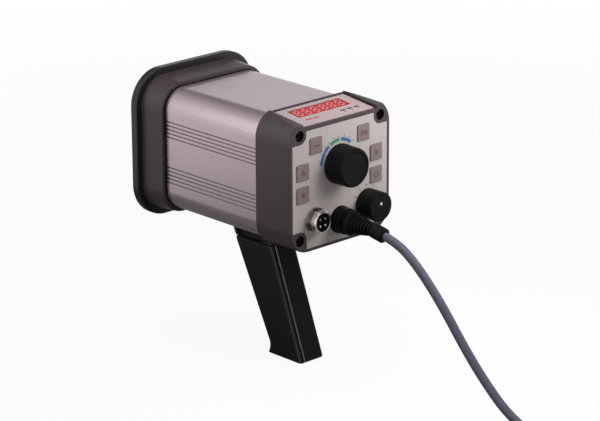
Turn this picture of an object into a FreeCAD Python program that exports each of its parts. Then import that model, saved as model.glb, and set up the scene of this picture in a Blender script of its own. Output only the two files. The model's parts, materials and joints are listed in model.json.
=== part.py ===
"""Hand-held xenon stroboscope.

An extruded body tube carries a moulded control end and a flared lamp end, and stands on a
raked pistol grip. The pieces are drawn round the tube's axis, with the control face at
y = 0 and the lamp looking along +Y. Each is shifted as it is saved, so that the origin is
the mouth of the tripod thread in the foot of the grip. Lengths are in millimetres, X is to
the right of the person who holds it, and Z is up.
"""
import FreeCAD, Part
import math
import os

Vec = FreeCAD.Vector
os.makedirs("parts", exist_ok=True)

# General
over = 1.0                      # how far a cut runs past the face it opens
seat_gap = 0.3                  # gap round a piece that is dropped into its place
running_gap = 0.05              # radial gap of a shaft in its bush
axis_height = 143.0             # body axis above the foot of the grip
thread_reach = 46.0             # tripod thread ahead of the control face

# Body tube
tube_width = 92.0
tube_height = 90.0
tube_corner = 16.0
tube_wall = 2.2
tube_length = 95.5
groove_count = 5
groove_pitch = 2.8
groove_width = 1.0
groove_depth = 0.8
groove_offset = 16.8            # middle of a group of grooves above or below the axis
screw_reach = 11.75             # corner screw from the centre of the tube's corner arc
port_radius = 4.0
port_bore = 1.65

# Rear cover
cover_depth = 33.6
cover_proud = 2.0
cover_rise = 2.0                # cheeks above an even border
cover_wall = 3.0
cover_lap = 1.0                 # how far the cover's wall reaches in behind the tube's
cover_edge = 1.2                # fillet round the control face
cheek_front_rise = 3.6          # top of the cheek above the tube's top, at the tube
cheek_rear_drop = 0.3           # top of the cheek below it, at the control face
channel_depth = 2.4
channel_width = 70.0
channel_lip_rise = 1.3          # front lip of the channel, above its floor
channel_lip_thick = 1.2
column_radius = 6.0
head_radius = 3.4
head_height = 2.6
shank_radius = 1.6
screw_bite = 10.0               # how far a corner screw reaches into the tube's port
screw_hole = 2.2
counterbore_radius = 3.9
counterbore_depth = 4.6
socket_radius = 1.3
socket_depth = 1.5

# Overlay on the control face
overlay_inset = 1.0             # from the tube's sides
overlay_top_inset = 2.6         # below the channel's floor at the control face
overlay_bottom_inset = 0.7      # above the tube's underside
overlay_corner = 2.0
overlay_thick = 0.6
overlay_gap = 0.15
notch_radius = 6.3

# Display
label_inset = 1.6               # from the channel's sides
label_rear_gap = 1.6            # from the control face
label_lip_gap = 0.4
label_thick = 0.6
display_x = 0.1
display_width = 49.0
display_height = 12.4
display_inset = 12.2            # middle of the red window, from the cover's front
display_proud = 0.2
digit_count = 6
digit_pitch = 7.8
digit_width = 7.4
digit_height = 10.6
digit_thick = 4.8
display_board_gap = 0.8         # to the screw columns
display_board_depth = 23.0
board_thick = 1.6
display_post_inset = 2.5        # from the end of the board
display_post_y = 9.5
display_post_radius = 1.6

# Controls; shares are of half the tube's width or height
control_centre = -0.8
key_column_inset = 11.1         # outer keys, from the tube's side
upper_key_share = 0.49
upper_key_inset = 11.8          # below the overlay's top
key_row_middle = 11.2
key_row_lower = -5.0
key_width = 11.3
key_height = 11.4
key_corner = 0.8
key_chamfer = 0.25
key_proud = 0.8
key_gap = 0.25
key_lip = 0.7                   # lips above and below, behind the control face
key_lip_thick = 1.1
key_travel = 0.5
switch_side = 6.0
plunger_radius = 1.6
plunger_height = 0.6
panel_board_inset = 4.0         # from the tube's sides
panel_board_drop = 8.7          # below the overlay's top
panel_board_bottom = -12.6
panel_board_y = 9.0
post_upper_inset = 8.0          # from the tube's side
post_lower_inset = 24.0
post_gap = 3.4                  # upper post to the lip of the key below it
post_lower_z = -9.4
post_radius = 2.2
stake_radius = 0.8              # stake on a post, through the board that it carries
stake_proud = 0.5

# Main dial and its encoder
dial_aside = 0.5                # left of the control centre
dial_z = 10.5
dial_skirt_radius = 14.3
dial_skirt_height = 2.4
dial_base_radius = 13.9
dial_face_radius = 13.7
dial_height = 16.2
dial_edge = 1.0
dial_dish = 0.8
dial_lift = 0.4
shaft_radius = 3.0
shaft_tip = 10.0
bush_radius = 4.5
bush_reach = 0.1
bush_hole = 4.8
encoder_side = 14.0
encoder_thick = 5.4

# Round selector knob and its switch
selector_x_share = 0.548
selector_z = -23.8
selector_radius = 10.7
selector_face_radius = 10.6
selector_height = 14.8
selector_edge = 0.7
dot_radius = 1.05
dot_x = 0.0
dot_z = 2.5
dot_depth = 0.5
rotary_radius = 9.2
rotary_depth = 13.0
rotary_tail_radius = 7.2
rotary_tail = 4.0

# Four-pin socket
socket_x_share = -0.539
socket_z_share = -0.551
flange_radius = 9.1
flange_thick = 1.8
shell_radius = 7.9
shell_reach = 9.0
shell_bore = 6.5
shell_tail = 9.0
shell_rim = 0.6
insert_recess = 1.0
insert_gap = 0.05
pin_count = 4
pin_circle = 3.3
pin_radius = 0.85
pin_proud = 0.6
pin_tail = 6.0
nut_across = 17.4
nut_thick = 2.6

# Power inlet and the plug in it
inlet_x = -0.5
inlet_rise = 14.3               # above the overlay's bottom
inlet_flange_radius = 9.8
inlet_flange_thick = 1.5
inlet_barrel_radius = 8.0
inlet_tail = 11.0
inlet_bore = 6.8
inlet_floor = 2.0
ring_radius = 9.3
ring_length = 7.6
ring_lobes = 10
ring_lobe_radius = 1.3
nose_radius = 6.4
nose_reach = 5.0                # how far the plug's nose goes in past the control face
plug_radius = 8.8
plug_length = 5.2
plug_edge = 1.0
relief_root_radius = 7.6
relief_tip_radius = 4.3
relief_length = 19.0
relief_ribs = 7
relief_rib_depth = 0.7
collar_radius = 5.3
collar_length = 11.0
collar_edge = 1.2
collar_droop = 10.0             # degrees that the cord's weight bends the collar down

# Lamp end
gasket_thick = 1.2
gasket_proud = 0.5
bezel_step = 3.0
bezel_taper = 2.0
bezel_length = 19.8
bezel_wall = 2.6
bezel_plate = 3.0
rim_step = 4.6
rim_thick = 6.2
rim_edge = 0.8
aperture_inset = 3.0            # from the tube's nearest side
aperture_flare = 1.6
bowl_gap = 1.2                  # from the aperture to the bezel's hole for the reflector
window_lap = 3.6                # from the aperture to the window's edge
window_thick = 3.0
reflector_flange_thick = 1.2
reflector_focal = 12.0
reflector_wall = 1.0
neck_radius = 10.6
lamp_base_radius = 10.0
lamp_base_length = 11.0
lamp_tube_radius = 2.6
lamp_tube_bore = 1.8
lamp_spread = 5.6               # half the distance between the lamp's two legs
lamp_front_gap = 7.7            # from the lamp's bend to the window
electrode_radius = 1.1
electrode_length = 6.0
lamp_socket_radius = 14.0
lamp_socket_length = 8.0
bulkhead_thick = 2.0
wire_hole_radius = 5.0

# Inside the tube
board_side_gap = 12.8           # from the tube's wall
board_rear_gap = 8.4            # from the tube's rear end
board_front_gap = 6.2           # from the lamp's bulkhead
board_lift = 18.8               # underside of the main board above the tube's floor
standoff_radius = 3.0
standoff_inset = 4.5
capacitor_radius = 14.0
capacitor_end_gap = 3.5         # from the front of the board
capacitor_x = -17.0
core_x = 16.0
core_width = 26.0
core_end_gap = 7.5
core_height = 30.0
core_window_share = 0.222       # of the core's length, for each window
winding_proud = 3.5
winding_gap = 0.3

# Grip
grip_width = 23.0
foot_rear = 28.1                # rear of the grip at its foot, ahead of the control face
foot_front = 56.8
rear_rake = 20.6                # degrees from upright
front_rake = 26.4
saddle_height = 16.6
shell_joint = 0.2
toe_reach = 6.4
toe_height = 9.0
toe_bow = 1.1
grip_edge = 2.6                 # rounding of the rear edges
toe_edge = 1.5
foot_edge = 1.0
grip_wall = 2.6
grip_rear_wall = 5.6            # room for the strap's joint
strap_width = 16.6
strap_proud = 0.9
strap_depth = 2.6
strap_gap = 0.8
strap_edge = 0.9
pocket_depth = 2.5
pocket_front = 94.0
pocket_rear = 68.5
tripod_bush_radius = 5.0
tripod_bush_length = 12.0
thread_radius = 2.55
thread_depth = 10.0
boss_wall = 2.2
grip_screw_radius = 1.4
grip_screw_head = 2.6
grip_screw_sink = 2.0
grip_screw_length = 15.0
grip_boss_radius = 3.4
grip_screw_low = 25.0           # screws above the foot
grip_screw_high = 67.0
saddle_screw_front = 86.0
saddle_screw_rear = 70.0
saddle_screw_length = 12.0

# Cord: a round three-core lead
cord_diameter = 6.2
bend_share = 0.45               # share of the shorter run that a bend takes up
cord_points = (
    (-0.5, -55.0, -33.9),
    (-0.6, -68.5, -40.9),
    (-0.9, -84.3, -53.2),
    (-1.3, -101.6, -70.0),
    (-1.1, -118.2, -89.8),
    (-0.4, -135.8, -108.9),
    (0.5, -158.4, -128.7),
    (1.3, -187.0, -139.5),
    (1.2, -216.0, -139.9),
    (0.3, -240.0, -139.9),
)
coil_centre_x = -46.0
coil_centre_y = -268.2
coil_radius = 46.0
coil_pitch = 6.85
coil_turns = 3.0                # turns in each of the two layers
tail_points = (
    (-91.8, -243.0, -133.05),
    (-91.0, -223.0, -133.0),
    (-91.0, -206.0, -133.0),
)

# Mains plug on the end of the cord
mains_width = 25.0
mains_height = 20.0
mains_length = 32.0
mains_corner = 5.0
mains_relief_length = 22.0
mains_relief_radius = 5.6
mains_relief_tip = 4.4
mains_grip_width = 17.0
blade_length = 17.0
blade_height = 6.4
blade_thick = 1.5
blade_spread = 6.35
earth_radius = 2.35
earth_drop = 5.2
earth_length = 19.0

# Places worked out from the sizes above
floor = -axis_height
tube_rear = cover_depth
tube_front = tube_rear + tube_length
bezel_rear = tube_front + gasket_thick
bezel_front = bezel_rear + bezel_length
rim_front = bezel_front + rim_thick
corner_x = tube_width / 2 - tube_corner
corner_z = tube_height / 2 - tube_corner
screw_x = corner_x + screw_reach * math.sqrt(0.5)
screw_z = corner_z + screw_reach * math.sqrt(0.5)
corner_screws = [(sx * screw_x, sz * screw_z) for sx in (-1, 1) for sz in (-1, 1)]
cheek_front = tube_height / 2 + cheek_front_rise
cheek_rear = tube_height / 2 - cheek_rear_drop
channel_rear = cheek_rear - channel_depth
slope = math.atan2(cheek_front - cheek_rear, cover_depth)
overlay_half = tube_width / 2 - overlay_inset
overlay_top = channel_rear - overlay_top_inset
overlay_bottom = -tube_height / 2 + overlay_bottom_inset
display_middle = cover_depth - display_inset
display_board_half = screw_x - column_radius - display_board_gap
display_post_x = display_board_half - display_post_inset
dial_x = control_centre - dial_aside
selector_x = selector_x_share * tube_width / 2
socket_x = socket_x_share * tube_width / 2
socket_z = socket_z_share * tube_height / 2
inlet_z = overlay_bottom + inlet_rise
aperture_radius = min(tube_width, tube_height) / 2 - aperture_inset
bowl_hole_radius = aperture_radius + bowl_gap
window_radius = aperture_radius + window_lap
grip_top = -tube_height / 2 - saddle_height
key_column = tube_width / 2 - key_column_inset
upper_key_column = upper_key_share * tube_width / 2
key_row_upper = overlay_top - upper_key_inset
key_places = {
    "key_left_upper": (control_centre - upper_key_column, key_row_upper),
    "key_left_middle": (control_centre - key_column, key_row_middle),
    "key_left_lower": (control_centre - key_column, key_row_lower),
    "key_right_upper": (control_centre + upper_key_column, key_row_upper),
    "key_right_middle": (control_centre + key_column, key_row_middle),
    "key_right_lower": (control_centre + key_column, key_row_lower),
}
panel_board_half = tube_width / 2 - panel_board_inset
panel_board_top = overlay_top - panel_board_drop
post_upper_x = tube_width / 2 - post_upper_inset
post_lower_x = tube_width / 2 - post_lower_inset
post_upper_z = key_row_middle + key_height / 2 + key_lip + post_gap + post_radius
panel_posts = (
    (-post_upper_x, post_upper_z),
    (post_upper_x, post_upper_z),
    (-post_lower_x, post_lower_z),
    (post_lower_x, post_lower_z),
)


def save(name, *solids):
    """Shift a piece to the tripod thread's mouth and write it as one STEP file."""
    shape = solids[0] if len(solids) == 1 else Part.makeCompound(list(solids))
    shape = shape.copy()
    shape.translate(Vec(0, -thread_reach, axis_height))
    shape.exportStep(os.path.join("parts", name + ".step"))


def box(x0, x1, y0, y1, z0, z1):
    return Part.makeBox(x1 - x0, y1 - y0, z1 - z0, Vec(x0, y0, z0))


def rod_y(radius, y0, y1, x=0, z=0):
    return Part.makeCylinder(radius, y1 - y0, Vec(x, y0, z), Vec(0, 1, 0))


def rod_z(radius, z0, z1, x=0, y=0):
    return Part.makeCylinder(radius, z1 - z0, Vec(x, y, z0), Vec(0, 0, 1))


def cone_y(radius0, radius1, y0, y1, x=0, z=0):
    return Part.makeCone(radius0, radius1, y1 - y0, Vec(x, y0, z), Vec(0, 1, 0))


def rounded(x0, x1, z0, z1, radius, y=0):
    """Upright rectangle with round corners, as a closed wire."""
    bow = radius * (1 - math.sqrt(0.5))
    corners = (
        ((x1, z0 + radius), (x1 - bow, z0 + bow), (x1 - radius, z0)),
        ((x0 + radius, z0), (x0 + bow, z0 + bow), (x0, z0 + radius)),
        ((x0, z1 - radius), (x0 + bow, z1 - bow), (x0 + radius, z1)),
        ((x1 - radius, z1), (x1 - bow, z1 - bow), (x1, z1 - radius)),
    )
    edges = []
    for i, corner in enumerate(corners):
        arc = [Vec(px, y, pz) for px, pz in corner]
        edges.append(Part.Arc(*arc).toShape())
        px, pz = corners[(i + 1) % len(corners)][0]
        edges.append(Part.makeLine(arc[-1], Vec(px, y, pz)))
    return Part.Wire(edges)


def section(grow, y=0, rise=0):
    """The body's outline, grown outwards all round and raised at the top."""
    half = tube_width / 2 + grow
    low = -tube_height / 2 - grow
    high = tube_height / 2 + grow + rise
    return rounded(-half, half, low, high, tube_corner + grow, y)


def prism(wire, y1):
    """Fill an upright wire and push it forward to y1."""
    depth = y1 - wire.BoundBox.YMin
    return Part.Face(wire).extrude(Vec(0, depth, 0))


def profile_x(points, x0, x1):
    """Push an outline of (y, z) points from x0 to x1."""
    wire = Part.makePolygon([Vec(x0, y, z) for y, z in points] + [Vec(x0, *points[0])])
    return Part.Face(wire).extrude(Vec(x1 - x0, 0, 0))


def turned(points, x=0, z=0):
    """Turn an outline of (radius, y) points about an axis along Y."""
    ring = [Vec(x + r, y, z) for r, y in points]
    face = Part.Face(Part.makePolygon(ring + [ring[0]]))
    return face.revolve(Vec(x, 0, z), Vec(0, 1, 0), 360)


def hexagon(across, y0, y1, x, z):
    radius = across / math.sqrt(3)
    corners = [math.radians(60 * k) for k in range(7)]
    ring = [Vec(x + radius * math.cos(a), y0, z + radius * math.sin(a)) for a in corners]
    return Part.Face(Part.makePolygon(ring)).extrude(Vec(0, y1 - y0, 0))


def panel_nut(barrel, x, z):
    """Thin hexagon nut on a threaded barrel, against the inside of the control face."""
    end = cover_wall + nut_thick
    bore = rod_y(barrel + running_gap, cover_wall - over, end + over, x, z)
    return hexagon(nut_across, cover_wall, end, x, z).cut(bore)


def edges_where(shape, test):
    return [edge for edge in shape.Edges if test(edge)]


# Body and rear cover


def body_tube():
    """Extruded tube with a screw port in each corner and fine grooves along its sides."""
    outer = prism(section(0, tube_rear), tube_front)
    tube = outer.cut(prism(section(-tube_wall, tube_rear - over), tube_front + over))
    ports = [rod_y(port_radius, tube_rear, tube_front, x, z) for x, z in corner_screws]
    tube = tube.fuse(ports).common(outer)
    cuts = [rod_y(port_bore, tube_rear - over, tube_front + over, x, z) for x, z in corner_screws]
    face = tube_width / 2
    for side in (-1, 1):
        for group in (-1, 1):
            for k in range(groove_count):
                z = group * groove_offset + (k - (groove_count - 1) / 2) * groove_pitch
                x0, x1 = sorted((side * (face - groove_depth), side * (face + over)))
                cuts.append(
                    box(x0, x1, tube_rear - over, tube_front + over,
                        z - groove_width / 2, z + groove_width / 2)
                )
    for y in (saddle_screw_rear, saddle_screw_front):
        cuts.append(rod_z(screw_hole, -tube_height / 2 - over, -tube_height / 2 + tube_wall + over, 0, y))
    return tube.cut(cuts)


def above_slope(rear_z, half_width, front=cover_depth + over):
    """Everything above a plane that rises forward at the cheeks' slope."""
    rise = math.tan(slope)
    low = rear_z - over * rise
    high = rear_z + front * rise
    top = rear_z + tube_height
    points = ((-over, low), (front, high), (front, top), (-over, top))
    return profile_x(points, -half_width, half_width)


def overlay_sheet(grow, y0, y1):
    """The overlay's outline, notched round the four corner screws."""
    half = overlay_half + grow
    sheet = prism(rounded(-half, half, overlay_bottom - grow, overlay_top + grow,
                          overlay_corner + grow, y0), y1)
    reach = notch_radius - grow
    for x, z in corner_screws:
        sx = math.copysign(1, x)
        sz = math.copysign(1, z)
        far_x = sx * (tube_width / 2 + over)
        far_z = sz * (tube_height / 2 + over)
        near_x = x - sx * reach
        near_z = z - sz * reach
        wide = box(min(x, far_x), max(x, far_x), y0 - over, y1 + over,
                   min(near_z, far_z), max(near_z, far_z))
        tall = box(min(near_x, far_x), max(near_x, far_x), y0 - over, y1 + over,
                   min(z, far_z), max(z, far_z))
        sheet = sheet.cut([rod_y(reach, y0 - over, y1 + over, x, z), wide, tall])
    return sheet


def key_prism(grow, y0, y1, place):
    x, z = place
    return prism(rounded(x - key_width / 2 - grow, x + key_width / 2 + grow,
                         z - key_height / 2 - grow, z + key_height / 2 + grow,
                         key_corner + grow, y0), y1)


def panel_holes(y0, y1):
    """The openings that both the overlay and the cover's face have."""
    holes = [key_prism(key_gap, y0, y1, place) for place in key_places.values()]
    holes.append(rod_y(bush_hole, y0, y1, dial_x, dial_z))
    holes.append(rod_y(bush_hole, y0, y1, selector_x, selector_z))
    holes.append(rod_y(shell_radius + overlay_gap, y0, y1, socket_x, socket_z))
    holes.append(rod_y(inlet_barrel_radius + overlay_gap, y0, y1, inlet_x, inlet_z))
    return holes


def on_slope(shape, depth=0):
    """Lay a flat-drawn piece on the channel's floor, or a depth below it."""
    shape.translate(Vec(0, 0, -depth))
    shape.rotate(Vec(0, 0, 0), Vec(1, 0, 0), math.degrees(slope))
    shape.translate(Vec(0, 0, channel_rear))
    return shape


def display_cut(grow, z0, z1):
    half = display_width / 2 + grow
    return box(display_x - half, display_x + half,
               display_middle - display_height / 2 - grow,
               display_middle + display_height / 2 + grow, z0, z1)


def display_board_top():
    """Height of the display board's face from the channel's floor."""
    return -cover_wall - seat_gap - digit_thick


def display_posts():
    return [(sx * display_post_x, display_middle + sy * display_post_y)
            for sx in (-1, 1) for sy in (-1, 1)]


def rear_cover():
    """Moulded end cover: slanted cheeks, display channel, corner columns and control face."""
    outer = prism(section(cover_proud, 0, cover_rise), cover_depth)
    rear = edges_where(outer, lambda edge: edge.BoundBox.YMax < cover_edge)
    outer = outer.makeFillet(cover_edge, rear)
    outer = outer.cut(above_slope(cheek_rear, tube_width))
    inside = prism(section(-cover_lap, cover_wall, cover_rise), cover_depth + over)
    inside = inside.cut(above_slope(channel_rear - cover_wall / math.cos(slope), tube_width))
    columns = [rod_y(column_radius, 0, cover_depth, x, z) for x, z in corner_screws]
    posts = [rod_y(post_radius, 0, panel_board_y, x, z) for x, z in panel_posts]
    stakes = [rod_y(stake_radius, 0, panel_board_y + board_thick + stake_proud, x, z)
              for x, z in panel_posts]
    for x, y in display_posts():
        posts.append(on_slope(rod_z(display_post_radius, display_board_top(), 0, x, y)))
        stake_end = display_board_top() - board_thick - stake_proud
        stakes.append(on_slope(rod_z(stake_radius, stake_end, 0, x, y)))
    solid = outer.cut(inside).fuse([piece.common(outer) for piece in columns + posts])
    solid = solid.fuse(stakes)
    cuts = [above_slope(channel_rear, channel_width / 2, cover_depth - channel_lip_thick),
            above_slope(channel_rear + channel_lip_rise, channel_width / 2)]
    cuts.append(overlay_sheet(overlay_gap, -over, overlay_thick))
    for x, z in corner_screws:
        cuts.append(rod_y(screw_hole, -over, cover_depth + over, x, z))
        cuts.append(rod_y(counterbore_radius, -over, counterbore_depth, x, z))
    cuts += panel_holes(-over, cover_wall + over)
    cuts.append(on_slope(display_cut(overlay_gap, -cover_wall - over, over)))
    return solid.cut(cuts)


def panel_overlay():
    sheet = overlay_sheet(0, 0, overlay_thick)
    return sheet.cut(panel_holes(-over, overlay_thick + over))


def corner_cap_screws(face, inward, tip):
    """The four screws at one end: socket heads with their face at one y, tips at another."""
    under = face + inward * head_height
    screws = []
    for x, z in corner_screws:
        head = rod_y(head_radius, min(face, under), max(face, under), x, z)
        shank = rod_y(shank_radius, min(under, tip), max(under, tip), x, z)
        bottom = face + inward * socket_depth
        mouth = face - inward * over
        key = hexagon(2 * socket_radius, min(bottom, mouth), max(bottom, mouth), x, z)
        screws.append(head.fuse(shank).cut(key))
    return screws


# Display


def display_label():
    half = channel_width / 2 - label_inset
    front = cover_depth - channel_lip_thick - label_lip_gap
    sheet = box(-half, half, label_rear_gap, front, 0, label_thick)
    return on_slope(sheet.cut(display_cut(overlay_gap, -over, label_thick + over)))


def display_window():
    return on_slope(display_cut(0, -cover_wall, label_thick + display_proud))


def display_digits():
    """A row of digit blocks on the display board."""
    digits = []
    low = display_board_top()
    for k in range(digit_count):
        x = display_x + (k - (digit_count - 1) / 2) * digit_pitch
        digits.append(on_slope(box(x - digit_width / 2, x + digit_width / 2,
                                   display_middle - digit_height / 2,
                                   display_middle + digit_height / 2,
                                   low, low + digit_thick)))
    return digits


def display_board():
    top = display_board_top()
    half = display_board_half
    board = box(-half, half, display_middle - display_board_depth / 2,
                display_middle + display_board_depth / 2, top - board_thick, top)
    holes = [rod_z(stake_radius + running_gap, top - board_thick - over, top + over, x, y)
             for x, y in display_posts()]
    return on_slope(board.cut(holes))


# Controls


def key_cap(place):
    """Key with a lip above and below that holds it behind the control face."""
    x, z = place
    back = cover_wall + seat_gap
    cap = key_prism(0, -key_proud, back + key_lip_thick, place)
    front = edges_where(cap, lambda edge: edge.BoundBox.YMax < -key_proud / 2)
    cap = cap.makeChamfer(key_chamfer, front)
    reach = key_height / 2 + key_lip
    lips = box(x - key_width / 2, x + key_width / 2, back, back + key_lip_thick, z - reach, z + reach)
    return cap.fuse(lips)


def key_switches():
    """One tact switch behind each key."""
    back = cover_wall + seat_gap + key_lip_thick
    plunger = back + key_travel + seat_gap
    switches = []
    for x, z in key_places.values():
        half = switch_side / 2
        body = box(x - half, x + half, plunger + plunger_height, panel_board_y, z - half, z + half)
        switches.append(body.fuse(rod_y(plunger_radius, plunger, plunger + plunger_height, x, z)))
    return switches


def panel_board():
    half = panel_board_half
    back = panel_board_y + board_thick
    board = box(-half, half, panel_board_y, back, panel_board_bottom, panel_board_top)
    return board.cut([rod_y(stake_radius + running_gap, panel_board_y - over, back + over, x, z)
                      for x, z in panel_posts])


def main_dial():
    """Turned dial: low skirt, tapered grip and a dished face, with a bore for its shaft."""
    base = -dial_lift
    bore = shaft_radius + running_gap
    points = (
        (bore, base),
        (dial_skirt_radius, base),
        (dial_skirt_radius, base - dial_skirt_height + dial_edge / 2),
        (dial_skirt_radius - dial_edge / 2, base - dial_skirt_height),
        (dial_base_radius, base - dial_skirt_height),
        (dial_face_radius, -dial_height + dial_edge),
        (dial_face_radius - dial_edge, -dial_height),
        (dial_face_radius - 2 * dial_edge, -dial_height),
        (dial_face_radius - 2 * dial_edge - dial_dish, -dial_height + dial_dish),
        (0, -dial_height + dial_dish),
        (0, -shaft_tip),
        (bore, -shaft_tip),
    )
    return turned(points, dial_x, dial_z)


def encoder():
    """Encoder body with a threaded bush that the shaft runs in."""
    half = encoder_side / 2
    back = panel_board_y
    body = box(dial_x - half, dial_x + half, back - encoder_thick, back, dial_z - half, dial_z + half)
    bush = rod_y(bush_radius, bush_reach, back - encoder_thick, dial_x, dial_z)
    bore = rod_y(shaft_radius + running_gap, bush_reach - over, back - over, dial_x, dial_z)
    return body.fuse(bush).cut(bore)


def dial_shaft():
    return rod_y(shaft_radius, -shaft_tip, panel_board_y - over - running_gap, dial_x, dial_z)


def selector_knob():
    bore = shaft_radius + running_gap
    points = (
        (bore, -dial_lift),
        (selector_radius, -dial_lift),
        (selector_face_radius, -selector_height + selector_edge),
        (selector_face_radius - selector_edge, -selector_height),
        (0, -selector_height),
        (0, -shaft_tip),
        (bore, -shaft_tip),
    )
    knob = turned(points, selector_x, selector_z)
    return knob.cut(rod_y(dot_radius + running_gap, -selector_height - over, -selector_height + dot_depth,
                          selector_x + dot_x, selector_z + dot_z))


def selector_dot():
    return rod_y(dot_radius, -selector_height, -selector_height + dot_depth,
                 selector_x + dot_x, selector_z + dot_z)


def rotary_switch():
    """Rotary switch behind the control face, with its bush through the hole."""
    front = cover_wall
    points = (
        (0, bush_reach),
        (bush_radius, bush_reach),
        (bush_radius, front),
        (rotary_radius, front),
        (rotary_radius, front + rotary_depth),
        (rotary_tail_radius, front + rotary_depth),
        (rotary_tail_radius, front + rotary_depth + rotary_tail),
        (0, front + rotary_depth + rotary_tail),
    )
    body = turned(points, selector_x, selector_z)
    return body.cut(rod_y(shaft_radius + running_gap, bush_reach - over, front + rotary_depth / 2,
                          selector_x, selector_z))


def selector_shaft():
    return rod_y(shaft_radius, -shaft_tip, cover_wall + rotary_depth / 2 - running_gap,
                 selector_x, selector_z)


# Sockets


def socket_shell():
    """Turned shell of the four-pin socket, with a flange on the overlay."""
    points = (
        (shell_bore, -shell_reach),
        (shell_radius - shell_rim, -shell_reach),
        (shell_radius, -shell_reach + shell_rim),
        (shell_radius, -flange_thick),
        (flange_radius, -flange_thick),
        (flange_radius, 0),
        (shell_radius, 0),
        (shell_radius, shell_tail),
        (shell_bore, shell_tail),
    )
    return turned(points, socket_x, socket_z)


def pin_places():
    places = []
    for k in range(pin_count):
        angle = math.radians(45 + 360 * k / pin_count)
        places.append((socket_x + pin_circle * math.cos(angle), socket_z + pin_circle * math.sin(angle)))
    return places


def socket_insert():
    face = -shell_reach + insert_recess
    insert = rod_y(shell_bore - insert_gap, face, shell_tail, socket_x, socket_z)
    return insert.cut([rod_y(pin_radius + running_gap, face - over, shell_tail + over, x, z)
                       for x, z in pin_places()])


def socket_pins():
    face = -shell_reach + insert_recess
    return [rod_y(pin_radius, face - pin_proud, shell_tail + pin_tail, x, z) for x, z in pin_places()]


def power_inlet():
    """Round inlet: a flange on the overlay and a blind barrel that its nut clamps."""
    points = (
        (inlet_bore, -inlet_flange_thick),
        (inlet_flange_radius, -inlet_flange_thick),
        (inlet_flange_radius, 0),
        (inlet_barrel_radius, 0),
        (inlet_barrel_radius, inlet_tail),
        (0, inlet_tail),
        (0, inlet_tail - inlet_floor),
        (inlet_bore, inlet_tail - inlet_floor),
    )
    return turned(points, inlet_x, inlet_z)


def plug_ring():
    """Coupling ring with finger lobes, round the plug's nose."""
    y0 = -inlet_flange_thick - ring_length
    y1 = -inlet_flange_thick
    ring = rod_y(ring_radius, y0, y1, inlet_x, inlet_z)
    cuts = [rod_y(nose_radius + running_gap, y0 - over, y1 + over, inlet_x, inlet_z)]
    for k in range(ring_lobes):
        angle = 2 * math.pi * k / ring_lobes
        reach = ring_radius + ring_lobe_radius / 2
        cuts.append(rod_y(ring_lobe_radius, y0 - over, y1 - ring_length / 4,
                          inlet_x + reach * math.cos(angle), inlet_z + reach * math.sin(angle)))
    return ring.cut(cuts)


def power_plug():
    """Plug body: a nose through the coupling ring and a round shoulder behind it."""
    y2 = -inlet_flange_thick - ring_length
    y3 = y2 - plug_length
    points = (
        (0, nose_reach),
        (nose_radius, nose_reach),
        (nose_radius, y2),
        (plug_radius - plug_edge, y2),
        (plug_radius, y2 - plug_edge),
        (plug_radius, y3 + plug_edge),
        (plug_radius - plug_edge, y3),
        (0, y3),
    )
    return turned(points, inlet_x, inlet_z)


def relief_end():
    return -inlet_flange_thick - ring_length - plug_length - relief_length


def drooped(shape):
    """Swing a shape down with the collar, about the end of the ribs."""
    shape.rotate(Vec(inlet_x, relief_end(), inlet_z), Vec(1, 0, 0), collar_droop)
    return shape


def strain_relief():
    """Tapered rubber relief with ribs, and an end collar that the cord's weight bends."""
    end = relief_end()
    start = end + relief_length
    points = [(0, start), (relief_root_radius, start)]
    pitch = relief_length / relief_ribs
    taper = (relief_root_radius - relief_tip_radius) / relief_length
    for k in range(relief_ribs):
        y = start - k * pitch
        crest = relief_root_radius - taper * (start - y)
        low = crest - taper * pitch
        points.append((crest - taper * pitch / 2, y - pitch / 2))
        points.append((low - relief_rib_depth, y - pitch / 2))
        points.append((low - relief_rib_depth, y - pitch))
        if k < relief_ribs - 1:
            points.append((low, y - pitch))
    points.append((0, end))
    lip = collar_radius * math.tan(math.radians(collar_droop))
    collar = turned((
        (0, end + lip),
        (collar_radius - collar_edge, end + lip),
        (collar_radius, end + lip - collar_edge),
        (collar_radius, end - collar_length + collar_edge),
        (collar_radius - collar_edge, end - collar_length),
        (0, end - collar_length),
    ), inlet_x, inlet_z)
    return turned(points, inlet_x, inlet_z).fuse(drooped(collar))


# Lamp end


def bezel_gasket():
    ring = prism(section(gasket_proud, tube_front), bezel_rear)
    return ring.cut(prism(section(-tube_wall, tube_front - over), bezel_rear + over))


def front_bezel():
    """Moulded band that flares from the tube to the rim, with a front plate and columns."""
    outer = Part.makeLoft([section(bezel_step, bezel_rear),
                           section(bezel_step + bezel_taper, bezel_front)], True, True)
    inner = prism(section(bezel_step - bezel_wall, bezel_rear + bezel_wall), bezel_front - bezel_plate)
    throat = prism(section(-tube_wall, bezel_rear - over), bezel_rear + bezel_wall + over)
    shell = outer.cut([inner, throat])
    columns = [rod_y(column_radius, bezel_rear, bezel_front, x, z) for x, z in corner_screws]
    shell = shell.fuse(columns)
    cuts = [rod_y(bowl_hole_radius, bezel_front - bezel_plate - over, bezel_front + over)]
    cuts.append(rod_y(window_radius + overlay_gap, bezel_front - reflector_flange_thick,
                      bezel_front + over))
    cuts += [rod_y(screw_hole, bezel_rear - over, bezel_front + over, x, z) for x, z in corner_screws]
    return shell.cut(cuts)


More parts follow.
